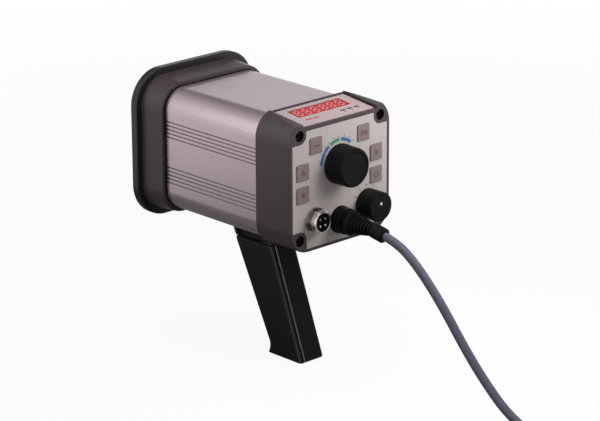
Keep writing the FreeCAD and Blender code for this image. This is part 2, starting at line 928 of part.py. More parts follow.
def front_rim():
    """Wide rim round the lamp end, which clamps the window on the reflector's flange."""
    rim = prism(section(bezel_step + bezel_taper + rim_step, bezel_front), rim_front)
    ends = edges_where(rim, lambda edge: edge.BoundBox.YLength < over)
    rim = rim.makeFillet(rim_edge, ends)
    window_front = bezel_front + window_thick
    cuts = [rod_y(window_radius + overlay_gap, bezel_front - over, window_front)]
    cuts.append(cone_y(aperture_radius - aperture_flare, aperture_radius + aperture_flare,
                       window_front - over, rim_front + over))
    for x, z in corner_screws:
        cuts.append(rod_y(screw_hole, bezel_front - over, rim_front + over, x, z))
        cuts.append(rod_y(counterbore_radius, rim_front - head_height - seat_gap, rim_front + over, x, z))
    return rim.cut(cuts)


def front_window():
    return rod_y(window_radius, bezel_front, bezel_front + window_thick)


def reflector():
    """Parabolic bowl with a neck for the lamp and a flange in the bezel's plate."""
    rim_radius = aperture_radius - seat_gap
    depth = rim_radius ** 2 / (4 * reflector_focal)
    vertex = bezel_front - depth

    def on_curve(radius, offset):
        return Vec(radius + offset, vertex + radius ** 2 / (4 * reflector_focal), 0)

    middle = (neck_radius + rim_radius) / 2
    low = (neck_radius + middle) / 2
    high = (middle + rim_radius) / 2
    inner = [on_curve(r, 0) for r in (neck_radius, low, middle, high, rim_radius)]
    outer = [on_curve(r, reflector_wall) for r in (neck_radius, low, middle, high)]
    flange_back = bezel_front - reflector_flange_thick
    join = rim_radius - 2 * reflector_flange_thick * reflector_focal / rim_radius
    outer.append(on_curve(join, reflector_wall))
    outer[-1].y = flange_back
    edges = [
        Part.Arc(inner[0], inner[1], inner[2]).toShape(),
        Part.Arc(inner[2], inner[3], inner[4]).toShape(),
        Part.makeLine(inner[4], Vec(window_radius, bezel_front, 0)),
        Part.makeLine(Vec(window_radius, bezel_front, 0), Vec(window_radius, flange_back, 0)),
        Part.makeLine(Vec(window_radius, flange_back, 0), outer[4]),
        Part.Arc(outer[4], outer[3], outer[2]).toShape(),
        Part.Arc(outer[2], outer[1], outer[0]).toShape(),
        Part.makeLine(outer[0], inner[0]),
    ]
    return Part.Face(Part.Wire(edges)).revolve(Vec(0, 0, 0), Vec(0, 1, 0), 360)


def neck_y():
    depth = (aperture_radius - seat_gap) ** 2 / (4 * reflector_focal)
    return bezel_front - depth + neck_radius ** 2 / (4 * reflector_focal)


def xenon_tube():
    """U-shaped glass tube, hollow, with its two legs in the base."""
    start = neck_y() + over
    bend = bezel_front - lamp_front_gap - lamp_tube_radius - lamp_spread
    path = Part.Wire([
        Part.makeLine(Vec(-lamp_spread, start, 0), Vec(-lamp_spread, bend, 0)),
        Part.Arc(Vec(-lamp_spread, bend, 0), Vec(0, bend + lamp_spread, 0),
                 Vec(lamp_spread, bend, 0)).toShape(),
        Part.makeLine(Vec(lamp_spread, bend, 0), Vec(lamp_spread, start, 0)),
    ])

    def swept(radius):
        circle = Part.Wire(Part.makeCircle(radius, Vec(-lamp_spread, start, 0), Vec(0, 1, 0)))
        return path.makePipeShell([circle], True, False)

    return swept(lamp_tube_radius).cut(swept(lamp_tube_bore))


def tube_electrodes():
    start = neck_y() + over
    return [rod_y(electrode_radius, start, start + electrode_length, sx * lamp_spread) for sx in (-1, 1)]


def lamp_base():
    front = neck_y() + over
    return rod_y(lamp_base_radius, front - lamp_base_length, front)


def lamp_socket():
    front = neck_y() + over - lamp_base_length
    return rod_y(lamp_socket_radius, front - lamp_socket_length, front)


def bulkhead_front():
    return neck_y() + over - lamp_base_length - lamp_socket_length


def lamp_bulkhead():
    """Plate across the tube that carries the lamp's socket."""
    front = bulkhead_front()
    rear = front - bulkhead_thick
    plate = prism(section(-tube_wall - seat_gap, rear), front)
    cuts = [rod_y(port_radius + seat_gap, rear - over, front + over, x, z) for x, z in corner_screws]
    for sx in (-1, 1):
        cuts.append(rod_y(wire_hole_radius, rear - over, front + over, sx * corner_x, 0))
    return plate.cut(cuts)


# Inside the tube


def board_level():
    return -tube_height / 2 + tube_wall + board_lift


def board_rear():
    return tube_rear + board_rear_gap


def board_front():
    return bulkhead_front() - bulkhead_thick - board_front_gap


def board_half():
    return tube_width / 2 - tube_wall - board_side_gap


def main_board():
    low = board_level()
    return box(-board_half(), board_half(), board_rear(), board_front(), low, low + board_thick)


def board_standoffs():
    x = board_half() - standoff_inset
    low = -tube_height / 2 + tube_wall
    return [rod_z(standoff_radius, low, low + board_lift, sx * x, y)
            for sx in (-1, 1)
            for y in (board_rear() + standoff_inset, board_front() - standoff_inset)]


def flash_capacitor():
    axis = board_level() + board_thick + capacitor_radius
    return rod_y(capacitor_radius, board_rear() + standoff_inset, board_front() - capacitor_end_gap,
                 capacitor_x, axis)


def core_ends():
    return board_rear() + standoff_inset, board_front() - core_end_gap


def core_parts():
    """Length of each window in the core, and of the iron at each end."""
    start, end = core_ends()
    window = core_window_share * (end - start)
    return window, (end - start - 2 * window) / 4


def transformer_core():
    """Laminated core with two windows."""
    low = board_level() + board_thick
    x0 = core_x - core_width / 2
    y0, y1 = core_ends()
    core = box(x0, x0 + core_width, y0, y1, low, low + core_height)
    window, leg = core_parts()
    cuts = []
    for y in (y0 + leg, y1 - leg - window):
        cuts.append(box(x0 - over, x0 + core_width + over, y, y + window,
                        low + leg, low + core_height - leg))
    return core.cut(cuts)


def transformer_winding():
    low = board_level() + board_thick
    x0 = core_x - core_width / 2
    y0, y1 = core_ends()
    window, leg = core_parts()
    gap = winding_gap
    outer = box(x0 - winding_proud, x0 + core_width + winding_proud,
                y0 + leg + gap, y1 - leg - gap, low + leg + gap, low + core_height - leg - gap)
    inner = box(x0 - gap, x0 + core_width + gap,
                y0 + leg + window - gap, y1 - leg - window + gap,
                low + leg + gap - over, low + core_height - leg - gap + over)
    return outer.cut(inner)


# Grip


def rear_line(z):
    return foot_rear + (z - floor) * math.tan(math.radians(rear_rake))


def front_line(z):
    return foot_front + (z - floor) * math.tan(math.radians(front_rake))


def middle_line(z):
    return (rear_line(z) + front_line(z)) / 2


def side_edges(shape, x, test):
    """Edges that lie in the plane at x and whose middle passes the test."""
    return edges_where(shape, lambda edge: edge.BoundBox.XLength < foot_edge / 2
                       and abs(edge.BoundBox.XMin - x) < foot_edge / 2
                       and test(edge.CenterOfMass))


def grip_profile(rear, front, low, top):
    """Outline of the grip from the side, drawn in by a rear and a front wall."""
    toe_z = low + toe_height
    rear_low = Vec(0, rear_line(low) + rear, low)
    rear_top = Vec(0, rear_line(top) + rear, top)
    front_top = Vec(0, front_line(top) - front, top)
    front_low = Vec(0, front_line(toe_z) - front, toe_z)
    toe = Vec(0, foot_front + toe_reach - front, low)
    bow = Vec(0, (front_low.y + toe.y) / 2 - toe_bow, (front_low.z + toe.z) / 2)
    return Part.Wire([
        Part.makeLine(rear_low, rear_top),
        Part.makeLine(rear_top, front_top),
        Part.makeLine(front_top, front_low),
        Part.Arc(front_low, bow, toe).toShape(),
        Part.makeLine(toe, rear_low),
    ])


def strap_solid(grow, side_grow):
    """Rear strap's space, with its joint when grown."""
    low = floor + foot_edge
    top = grip_top - shell_joint
    half = strap_width / 2 + side_grow
    out = strap_proud
    points = (
        (rear_line(low) - out, low),
        (rear_line(top) - out, top),
        (rear_line(top) + strap_depth + grow, top),
        (rear_line(low) + strap_depth + grow, low),
    )
    return profile_x(points, -half, half)


def grip_screw_places():
    heights = (floor + grip_screw_low, floor + grip_screw_high)
    return [(middle_line(z) + grip_rear_wall / 2, z) for z in heights]


def grip_shell(side):
    """One half of the grip: a moulded shell with bosses for the screws and the bush."""
    top = grip_top - shell_joint
    half = side * grip_width / 2
    outer = Part.Face(grip_profile(0, 0, floor, top)).extrude(Vec(half, 0, 0))
    outer = outer.makeFillet(grip_edge, side_edges(
        outer, half, lambda spot: spot.y < middle_line(spot.z) and spot.z > floor + toe_height))
    outer = outer.makeFillet(toe_edge, side_edges(
        outer, half, lambda spot: spot.y > middle_line(spot.z)
        and floor + foot_edge < spot.z < top - foot_edge))
    outer = outer.makeFillet(foot_edge, side_edges(
        outer, half, lambda spot: spot.z < floor + foot_edge / 2))
    inner = Part.Face(grip_profile(grip_rear_wall, grip_wall, floor + grip_wall, top - grip_wall))
    inner = inner.extrude(Vec(half - side * grip_wall, 0, 0))
    bosses = [rod_x(grip_boss_radius, 0, half, y, z) for y, z in grip_screw_places()]
    seat = rod_z(tripod_bush_radius + boss_wall, floor, floor + tripod_bush_length + boss_wall,
                 0, thread_reach)
    shell = outer.cut(inner).fuse([piece.common(outer) for piece in bosses + [seat]])
    cuts = [rod_z(tripod_bush_radius + running_gap, floor - over, floor + tripod_bush_length,
                  0, thread_reach)]
    cuts.append(strap_solid(seat_gap, strap_gap))
    tip = grip_screw_tip() - seat_gap
    for y, z in grip_screw_places():
        bore = grip_screw_radius + running_gap
        if side > 0:
            cuts.append(rod_x(bore, -over, half + over, y, z))
            cuts.append(rod_x(grip_screw_head + seat_gap, half - grip_screw_sink, half + over, y, z))
        else:
            cuts.append(rod_x(bore, tip, over, y, z))
    return shell.cut(cuts)


def grip_screw_tip():
    return grip_width / 2 - grip_screw_sink - grip_screw_length


def rod_x(radius, x0, x1, y, z):
    a, b = sorted((x0, x1))
    return Part.makeCylinder(radius, b - a, Vec(a, y, z), Vec(1, 0, 0))


def grip_strap():
    strap = strap_solid(0, 0)
    long_edges = edges_where(strap, lambda edge: edge.BoundBox.XLength < foot_edge
                             and edge.BoundBox.ZLength > toe_height
                             and edge.CenterOfMass.y < rear_line(edge.CenterOfMass.z))
    return strap.makeFillet(strap_edge, long_edges)


def grip_saddle():
    """Block between the tube and the grip, with a sunken pocket in each side."""
    top = -tube_height / 2
    points = (
        (rear_line(grip_top), grip_top),
        (rear_line(top), top),
        (front_line(top), top),
        (front_line(grip_top), grip_top),
    )
    half = grip_width / 2
    block = profile_x(points, -half, half)
    upright = edges_where(block, lambda edge: edge.BoundBox.XLength < over
                          and edge.BoundBox.ZLength > toe_height)
    block = block.makeFillet(grip_edge, upright)
    cuts = []
    for side in (-1, 1):
        x0, x1 = sorted((side * (half - pocket_depth), side * (half + over)))
        cuts.append(box(x0, x1, pocket_rear, pocket_front, grip_top - over, top - tube_wall))
    for y in (saddle_screw_rear, saddle_screw_front):
        cuts.append(rod_z(shank_radius + running_gap, top - saddle_screw_length, top + over, 0, y))
    return block.cut(cuts)


def saddle_screws():
    inner_floor = -tube_height / 2 + tube_wall
    screws = []
    for y in (saddle_screw_rear, saddle_screw_front):
        head = rod_z(head_radius, inner_floor, inner_floor + head_height, 0, y)
        shank = rod_z(shank_radius, inner_floor - saddle_screw_length, inner_floor, 0, y)
        screws.append(head.fuse(shank))
    return screws


def tripod_bush():
    bush = rod_z(tripod_bush_radius, floor, floor + tripod_bush_length, 0, thread_reach)
    return bush.cut(rod_z(thread_radius, floor - over, floor + thread_depth, 0, thread_reach))


def grip_screws():
    """Pan-head screws that hold the right shell to the left one."""
    under = grip_width / 2 - grip_screw_sink
    screws = []
    for y, z in grip_screw_places():
        head = rod_x(grip_screw_head, under, grip_width / 2 - seat_gap, y, z)
        shank = rod_x(grip_screw_radius, grip_screw_tip(), under, y, z)
        screws.append(head.fuse(shank))
    return screws


# Cord


def cord_start():
    """Middle of the collar's end, where the cord comes out."""
    end = drooped(Part.Vertex(inlet_x, relief_end() - collar_length, inlet_z))
    return end.Point


def cord_tube(corners, name):
    """Straight runs joined by tangent arcs, swept with the cord's round section."""
    edges = []
    here = corners[0]
    radii = []
    for a, b, c in zip(corners, corners[1:], corners[2:]):
        u = b.sub(a).normalize()
        v = c.sub(b).normalize()
        reach = bend_share * min(b.sub(a).Length, c.sub(b).Length)
        start = b.sub(Vec(u).multiply(reach))
        end = b.add(Vec(v).multiply(reach))
        half_turn = u.getAngle(v) / 2
        radius = reach / math.tan(half_turn)
        radii.append(radius)
        to_centre = v.sub(u).normalize()
        centre = b.add(Vec(to_centre).multiply(radius / math.cos(half_turn)))
        middle = centre.sub(Vec(to_centre).multiply(radius))
        edges.append(Part.LineSegment(here, start).toShape())
        edges.append(Part.Arc(start, middle, end).toShape())
        here = end
    edges.append(Part.LineSegment(here, corners[-1]).toShape())
    return swept_cord(edges, name, radii)


def swept_cord(edges, name, radii):
    path = Part.Wire(edges)
    first = path.Edges[0]
    start = first.valueAt(first.FirstParameter)
    heading = first.tangentAt(first.FirstParameter)
    circle = Part.Wire(Part.makeCircle(cord_diameter / 2, start, heading))
    tube = path.makePipeShell([circle], True, False)
    expected = math.pi * cord_diameter ** 2 / 4 * path.Length
    print(name, "length", round(path.Length, 1), "volume ratio", round(tube.Volume / expected, 4),
          "valid", tube.isValid(), "least radius", round(min(radii), 1),
          "radii", [round(r, 1) for r in radii[:12]])
    return tube, path.Length


def coil_place(angle):
    """Point and heading of the coil's centre line at an angle wound, in radians."""
    wound = coil_turns * 2 * math.pi
    rate = coil_pitch / (2 * math.pi)
    level = floor + cord_diameter / 2
    if angle <= wound:
        radius, growth, z, climb = coil_radius - rate * angle, -rate, level, 0
    elif angle < wound + math.pi:
        u = angle - wound
        radius = coil_radius - rate * wound - rate * u + rate * u ** 2 / math.pi
        growth = -rate + 2 * rate * u / math.pi
        z = level + coil_pitch * (u - math.sin(2 * u) / 2) / math.pi
        climb = coil_pitch * (1 - math.cos(2 * u)) / math.pi
    else:
        out = angle - wound - math.pi
        radius, growth, z, climb = coil_radius - rate * wound + rate * out, rate, level + coil_pitch, 0
    c = math.cos(-angle)
    s = math.sin(-angle)
    point = Vec(coil_centre_x + radius * c, coil_centre_y + radius * s, z)
    heading = Vec(growth * c + radius * s, growth * s - radius * c, climb)
    return point, heading.normalize()


def biarc(p0, t0, p1, t1):
    """Two tangent arcs from p0, heading t0, to p1, heading t1."""
    chord = p1.sub(p0)
    both = t0.add(t1)
    a = 2 * (1 - t0.dot(t1))
    b = 2 * chord.dot(both)
    c = -chord.dot(chord)
    d = -c / b if abs(a) < 1e-9 else (-b + math.sqrt(b * b - 4 * a * c)) / (2 * a)
    q0 = p0.add(Vec(t0).multiply(d))
    q1 = p1.sub(Vec(t1).multiply(d))
    joint = q0.add(q1).multiply(0.5)
    return [arc_between(p0, q0, joint), arc_between(joint, q1, p1)]


def arc_between(start, corner, end):
    """Arc tangent to start-corner and corner-end, whose two legs are equal."""
    u = corner.sub(start).normalize()
    v = end.sub(corner).normalize()
    turn = u.getAngle(v)
    radius = end.sub(corner).Length / math.tan(turn / 2)
    to_centre = v.sub(u).normalize()
    centre = corner.add(Vec(to_centre).multiply(radius / math.cos(turn / 2)))
    return Part.Arc(start, centre.sub(Vec(to_centre).multiply(radius)), end).toShape()


def coil_ends():
    """Where the coil's straight ends begin and finish, both square to the lead and the tail."""
    first = coil_place(0)[0]
    last = coil_place((2 * coil_turns + 0.5) * 2 * math.pi)[0]
    return first.add(Vec(0, cord_diameter, 0)), first, last, last.add(Vec(0, cord_diameter, 0))


def cord_coil():
    """The put-away length: a two-layer coil, wound in, up and out again as one tube."""
    steps = round((2 * coil_turns + 0.5) * 4)
    places = [coil_place(k * math.pi / 2) for k in range(1, steps)]
    start, first, last, finish = coil_ends()
    places = [(first, Vec(0, -1, 0))] + places + [(last, Vec(0, 1, 0))]
    edges = [Part.LineSegment(start, first).toShape()]
    for (p0, t0), (p1, t1) in zip(places, places[1:]):
        edges += biarc(p0, t0, p1, t1)
    edges.append(Part.LineSegment(last, finish).toShape())
    print("cord_coil least gap to itself", round(coil_gap(edges), 3))
    return swept_cord(edges, "cord_coil", [edge.Curve.Radius for edge in edges[1:-1]])


def coil_gap(edges):
    """Least distance between the tube's skin and itself, on points along the centre line."""
    spacing = cord_diameter / 4
    points = []
    travelled = 0
    for edge in edges:
        count = max(2, int(edge.Length / spacing))
        for k in range(count):
            points.append((travelled + edge.Length * k / count, edge.valueAt(
                edge.FirstParameter + (edge.LastParameter - edge.FirstParameter) * k / count)))
        travelled += edge.Length
    apart = 4 * cord_diameter
    least = min(p.distanceToPoint(q) for i, (s, p) in enumerate(points)
                for t, q in points[i + 1:] if t - s > apart)
    return least - cord_diameter


def mains_plug():
    """Moulded mains plug body with a narrowed grip and a tapered relief."""
    x, y, z = tail_points[-1]
    z = floor + mains_height / 2
    face = y + mains_relief_length + mains_length
    back = y + mains_relief_length
    grip = rounded(x - mains_grip_width / 2, x + mains_grip_width / 2, z - mains_height / 2,
                   z + mains_height / 2, mains_corner, back)
    nose = rounded(x - mains_width / 2, x + mains_width / 2, z - mains_height / 2,
                   z + mains_height / 2, mains_corner, back + mains_length / 2)
    end = rounded(x - mains_width / 2, x + mains_width / 2, z - mains_height / 2,
                  z + mains_height / 2, mains_corner, face)
    body = Part.makeLoft([grip, nose], True, True).fuse(Part.makeLoft([nose, end], True, True))
    relief = cone_y(mains_relief_tip, mains_relief_radius, y, back, x, z)
    return body.fuse(relief)


def mains_pins():
    x, y, z = tail_points[-1]
    z = floor + mains_height / 2
    face = y + mains_relief_length + mains_length
    pins = [box(x + sx * blade_spread - blade_thick / 2, x + sx * blade_spread + blade_thick / 2,
                face, face + blade_length, z - blade_height / 2 + earth_drop / 2,
                z + blade_height / 2 + earth_drop / 2) for sx in (-1, 1)]
    pins.append(rod_y(earth_radius, face, face + earth_length, x, z - earth_drop))
    return pins


save("body_tube", body_tube())
save("rear_cover", rear_cover())
save("panel_overlay", panel_overlay())
save("rear_screws", *corner_cap_screws(counterbore_depth - head_height, 1, tube_rear + screw_bite))
save("display_label", display_label())
save("display_window", display_window())
save("display_digits", *display_digits())
save("display_board", display_board())
for key_name, key_place in key_places.items():
    save(key_name, key_cap(key_place))
save("key_switches", *key_switches())
save("panel_board", panel_board())
save("main_dial", main_dial())
save("dial_shaft", dial_shaft())
save("dial_encoder", encoder())
save("selector_knob", selector_knob())
save("selector_dot", selector_dot())
save("selector_shaft", selector_shaft())
save("rotary_switch", rotary_switch())
save("socket_shell", socket_shell())
save("socket_insert", socket_insert())
save("socket_pins", *socket_pins())
save("socket_nut", panel_nut(shell_radius, socket_x, socket_z))
save("power_inlet", power_inlet())
save("inlet_nut", panel_nut(inlet_barrel_radius, inlet_x, inlet_z))
save("plug_ring", plug_ring())
save("power_plug", power_plug())
save("strain_relief", strain_relief())
save("bezel_gasket", bezel_gasket())
save("front_bezel", front_bezel())
save("front_rim", front_rim())
save("front_screws", *corner_cap_screws(rim_front - seat_gap, -1, tube_front - screw_bite))
save("front_window", front_window())
save("reflector", reflector())
save("xenon_tube", xenon_tube())
save("tube_electrodes", *tube_electrodes())
save("lamp_base", lamp_base())
save("lamp_socket", lamp_socket())
save("lamp_bulkhead", lamp_bulkhead())
save("main_board", main_board())
save("board_standoffs", *board_standoffs())
save("flash_capacitor", flash_capacitor())
save("transformer_core", transformer_core())
save("transformer_winding", transformer_winding())
save("grip_left", grip_shell(-1))
save("grip_right", grip_shell(1))
save("grip_strap", grip_strap())
save("grip_saddle", grip_saddle())
save("saddle_screws", *saddle_screws())
save("tripod_bush", tripod_bush())
save("grip_screws", *grip_screws())
lead_points = [cord_start()] + [Vec(*p) for p in cord_points] + [coil_ends()[0]]
lead, lead_run = cord_tube(lead_points, "cord_lead")
coil, coil_run = cord_coil()
tail, tail_run = cord_tube([coil_ends()[3]] + [Vec(*p) for p in tail_points], "cord_tail")
print("cord in all", round(lead_run + coil_run + tail_run, 1))
save("cord_lead", lead)
save("cord_coil", coil)
save("cord_tail", tail)
save("mains_plug", mains_plug())
save("mains_pins", *mains_pins())
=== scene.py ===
import bpy
import bmesh
import json
import math
from mathutils import Matrix, Vector

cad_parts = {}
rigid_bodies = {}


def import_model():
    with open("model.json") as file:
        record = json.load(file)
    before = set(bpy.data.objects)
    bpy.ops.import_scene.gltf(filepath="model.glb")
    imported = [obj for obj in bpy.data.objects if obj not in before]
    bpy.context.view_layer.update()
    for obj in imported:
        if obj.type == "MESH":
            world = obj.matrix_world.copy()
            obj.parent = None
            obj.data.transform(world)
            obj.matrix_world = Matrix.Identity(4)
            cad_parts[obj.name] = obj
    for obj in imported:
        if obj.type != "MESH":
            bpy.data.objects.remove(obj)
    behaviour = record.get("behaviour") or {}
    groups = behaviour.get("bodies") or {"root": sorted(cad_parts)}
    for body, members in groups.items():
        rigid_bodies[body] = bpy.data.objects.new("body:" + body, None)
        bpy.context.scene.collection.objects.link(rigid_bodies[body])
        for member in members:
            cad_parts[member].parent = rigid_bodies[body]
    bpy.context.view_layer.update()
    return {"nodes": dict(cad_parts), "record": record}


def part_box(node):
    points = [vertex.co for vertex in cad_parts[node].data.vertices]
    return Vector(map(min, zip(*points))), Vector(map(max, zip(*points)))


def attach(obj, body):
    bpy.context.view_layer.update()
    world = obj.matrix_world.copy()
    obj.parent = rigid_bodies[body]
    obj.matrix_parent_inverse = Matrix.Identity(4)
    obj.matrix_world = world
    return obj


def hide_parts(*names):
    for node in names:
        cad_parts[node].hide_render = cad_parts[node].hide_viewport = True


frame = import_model()
MM = 0.001
HOUSING = "housing"
# The drawing is measured in millimetres from the body axis at the control face.
# The scene's zero, the mouth of the tripod thread, is this far ahead of that and this far below.
REACH = 46.0
HEIGHT = 143.0


def ahead_of_face(y):
    """Metres along Y, from a distance ahead of the control face in millimetres."""
    return (y - REACH) * MM


def at(x, y, z):
    """A point in metres, from its place about the body axis in millimetres."""
    return Vector((x * MM, ahead_of_face(y), (z + HEIGHT) * MM))


# Shader maths


class Sock:
    """A shader socket that ordinary sums can be written with."""

    def __init__(self, tree, link):
        self.tree = tree
        self.link = link

    def maths(self, operation, other):
        node = self.tree.nodes.new("ShaderNodeMath")
        node.operation = operation
        self.tree.links.new(self.link, node.inputs[0])
        if isinstance(other, Sock):
            self.tree.links.new(other.link, node.inputs[1])
        else:
            node.inputs[1].default_value = other
        return Sock(self.tree, node.outputs[0])

    def __add__(self, other):
        return self.maths("ADD", other)

    def __sub__(self, other):
        return self.maths("SUBTRACT", other)

    def __mul__(self, other):
        return self.maths("MULTIPLY", other)

    def __abs__(self):
        return self.maths("ABSOLUTE", 0)

    def __gt__(self, other):
        return self.maths("GREATER_THAN", other)

    def __lt__(self, other):
        return self.maths("LESS_THAN", other)


class Finish:
    """A material with one Principled shader, built up node by node."""

    def __init__(self, name, colour, rough, **values):
        self.material = bpy.data.materials.new(name)
        self.material.use_nodes = True
        self.tree = self.material.node_tree
        self.shader = self.tree.nodes["Principled BSDF"]
        self.shader.inputs["Base Color"].default_value = (*colour, 1)
        self.shader.inputs["Roughness"].default_value = rough
        for key, value in values.items():
            self.shader.inputs[key.replace("_", " ")].default_value = value
        self.place = self.node("ShaderNodeTexCoord", {}, {}, "Object")

    def node(self, kind, settings, values, out=0):
        made = self.tree.nodes.new(kind)
        for key, value in settings.items():
            setattr(made, key, value)
        for key, value in values.items():
            if isinstance(value, Sock):
                self.tree.links.new(value.link, made.inputs[key])
            else:
                made.inputs[key].default_value = value
        return Sock(self.tree, made.outputs[out])

    def feed(self, name, value):
        self.tree.links.new(value.link, self.shader.inputs[name])

    def noise(self, scale, detail=3.0, stretch=(1, 1, 1)):
        place = self.node("ShaderNodeMapping", {}, {"Vector": self.place, "Scale": stretch})
        return self.node("ShaderNodeTexNoise", {},
                         {"Vector": place, "Scale": scale, "Detail": detail})

    def between(self, factor, low, high):
        """From low to high, as a pattern goes through the middle of its range."""
        return self.node("ShaderNodeMapRange", {},
                         {"Value": factor, "From Min": 0.3, "From Max": 0.7,
                          "To Min": low, "To Max": high})

    def tint(self, factor, dark, light):
        """From one colour to another, where each is a plain colour or a socket."""
        ends = [end if isinstance(end, Sock) else (*end, 1) for end in (dark, light)]
        return self.node("ShaderNodeMix", {"data_type": "RGBA"},
                         {"Factor": factor, "A": ends[0], "B": ends[1]}, 2)

    def along(self, axis):
        """One coordinate of the piece, in metres."""
        return self.node("ShaderNodeSeparateXYZ", {}, {"Vector": self.place}, "XYZ".index(axis))

    def above_axis(self):
        """Height over the body axis, in metres."""
        return self.along("Z") - HEIGHT * MM

    def bump(self, height, strength, distance):
        normal = self.node("ShaderNodeBump", {},
                           {"Height": height, "Strength": strength, "Distance": distance})
        self.feed("Normal", normal)


def shaded(colour, share, lift=0.0):
    return [c * share + lift for c in colour]


# Places on the drawing where a finish changes, in millimetres

# The sunken screw holes of the control face
SCREW_ACROSS = 38.31
SCREW_LEVEL = 37.31
HOLE_RADIUS = 4.2
HOLE_START = 0.3
# The floors of the tube's grooves lie nearer the axis than this across, and than this in height
GROOVE_FLOOR = 45.8
GROOVES_END = 23.5
# The signal socket's thread and its flange
THREAD_EDGE = -6.7
THREAD_FULL = -4.5
FLANGE_START = -2.0
# The grip's rear face, which leans by this many degrees
GRIP_REAR = 32.1
GRIP_LEAN = 20.6

METAL_LINES = 1200.0


def hole_shade_mask(made):
    """One inside the four sunken screw holes of the control face, where painted shade goes."""
    across = abs(made.along("X")) - SCREW_ACROSS * MM
    level = abs(made.above_axis()) - SCREW_LEVEL * MM
    inside = across * across + level * level < (HOLE_RADIUS * MM) ** 2
    return inside * (made.along("Y") > ahead_of_face(HOLE_START))


def on_rear_strip(made, low, high):
    """One on the grip's leaning rear face, between two distances across."""
    across = made.along("X")
    lean = made.along("Y") - made.along("Z") * math.tan(math.radians(GRIP_LEAN))
    rear = lean < ahead_of_face(GRIP_REAR)
    return (across > low * MM) * (across < high * MM) * rear


def moulded(name, colour, rough, grain=2600.0, depth=0.00006, vary=0.1, strip=None, holes=None,
            **values):
    """Moulded plastic: fine grain, and a slow drift of colour and gloss.

    A strip up the grip's rear face, between two distances across, is rubbed shiny. Holes gives
    a near-black colour painted inside the cover's screw holes, as painted shade.
    """
    made = Finish(name, colour, rough, **values)
    shown = made.tint(made.noise(35.0), shaded(colour, 1 - vary), shaded(colour, 1 + vary))
    # Painted shade: inside the screw holes the colour turns near black, for the shade in them.
    if holes:
        shown = made.tint(hole_shade_mask(made), shown, holes)
    made.feed("Base Color", shown)
    made.feed("Roughness", made.between(made.noise(420.0), rough - 0.05, rough + 0.07))
    made.bump(made.noise(grain, 2.0), 0.35, depth)
    if strip:
        low, high, weight = strip
        made.feed("Coat Weight", on_rear_strip(made, low, high) * weight)
    return made.material


def satin_paint(name, colour, rough, metal, stretch):
    """Satin metallic lacquer with faint lines along it, and painted shade darkening the grooves."""
    made = Finish(name, colour, rough, Metallic=metal, Coat_Weight=0.25, Coat_Roughness=0.3)
    lines = made.noise(900.0, 2.0, stretch)
    fleck = made.noise(5200.0, 1.0)
    even = made.tint(made.between(fleck, 0.0, 1.0), shaded(colour, 0.93), shaded(colour, 1.06))
    # Painted shade: the groove floors take half the colour, for the shade that falls in them.
    painted_groove_shade = (abs(made.along("X")) < GROOVE_FLOOR * MM) * (abs(made.above_axis()) < GROOVES_END * MM)
    made.feed("Base Color", made.tint(painted_groove_shade, even, shaded(colour, 0.5)))
    made.feed("Roughness", made.between(lines, rough - 0.03, rough + 0.05))
    made.bump(lines * 0.6 + fleck * 0.4, 0.12, 0.00004)
    return made.material


def bare_metal(name, colour, rough, stretch=(1, 1, 1)):
    """Turned, plated or rolled metal with fine lines and a little tarnish."""
    made = Finish(name, colour, rough, Metallic=1.0)
    lines = made.noise(METAL_LINES, 2.0, stretch)
    made.feed("Base Color", made.tint(made.noise(90.0), shaded(colour, 0.86), colour))
    made.feed("Roughness", made.between(lines, rough * 0.75, rough * 1.3))
    made.bump(lines, 0.1, 0.00003)
    return made.material


def threaded_shell(name, colour, thread_shade, flange, rough):
    """Plated metal, bright at its mouth, with painted shade in its thread, and duller on its flange.
    """
    made = Finish(name, colour, rough, Metallic=1.0)
    inward = made.node("ShaderNodeMapRange", {},
                       {"Value": made.along("Y"), "From Min": ahead_of_face(THREAD_EDGE),
                        "From Max": ahead_of_face(THREAD_FULL)})
    # Painted shade: the barrel darkens into the thread, for the shade and dark reflection there.
    shaded_barrel = made.tint(inward, colour, thread_shade)
    on_flange = made.along("Y") > ahead_of_face(FLANGE_START)
    made.feed("Base Color", made.tint(on_flange, shaded_barrel, flange))
    made.feed("Roughness", made.between(made.noise(METAL_LINES), rough * 0.75, rough * 1.3))
    return made.material


def rubbery(name, colour, rough=0.6, **values):
    """Dull rubber with a little dust on it."""
    made = Finish(name, colour, rough, **values)
    dust = made.noise(160.0, 4.0)
    made.feed("Base Color", made.tint(made.between(dust, 0.0, 1.0),
                                      shaded(colour, 0.8), shaded(colour, 1.25, 0.002)))
    made.feed("Roughness", made.between(dust, rough - 0.08, rough + 0.08))
    made.bump(made.noise(1900.0, 2.0), 0.3, 0.00005)
    return made.material


def printed_film(name, colour, rough):
    """Screen-printed polyester film: a fine velvet surface, almost even in colour."""
    made = Finish(name, colour, rough, Coat_Weight=0.15, Coat_Roughness=0.35)
    made.feed("Base Color", made.tint(made.noise(28.0), shaded(colour, 0.95), shaded(colour, 1.03)))
    made.feed("Roughness", made.between(made.noise(600.0), rough - 0.04, rough + 0.05))
    made.bump(made.noise(4200.0, 2.0), 0.25, 0.00003)
    return made.material


def clear_glass(name, colour, rough, alpha):
    """Glass or clear plastic with faint smears on it."""
    made = Finish(name, colour, rough, IOR=1.5, Alpha=alpha)
    smear = made.noise(60.0, 4.0)
    made.feed("Roughness", made.between(smear, rough, rough + 0.04))
    made.bump(made.noise(300.0), 0.02, 0.00003)
    return made.material


def circuit_board(name):
    """Green solder mask with copper tracks under it."""
    mask = (0.02, 0.12, 0.05)
    made = Finish(name, mask, 0.35)
    tracks = made.node("ShaderNodeTexBrick", {},
                       {"Vector": made.place, "Scale": 160.0, "Mortar Size": 0.03,
                        "Color1": (*mask, 1), "Color2": (0.025, 0.15, 0.06, 1),
                        "Mortar": (0.05, 0.22, 0.08, 1)})
    made.feed("Base Color", tracks)
    made.bump(made.noise(800.0), 0.1, 0.00004)
    return made.material


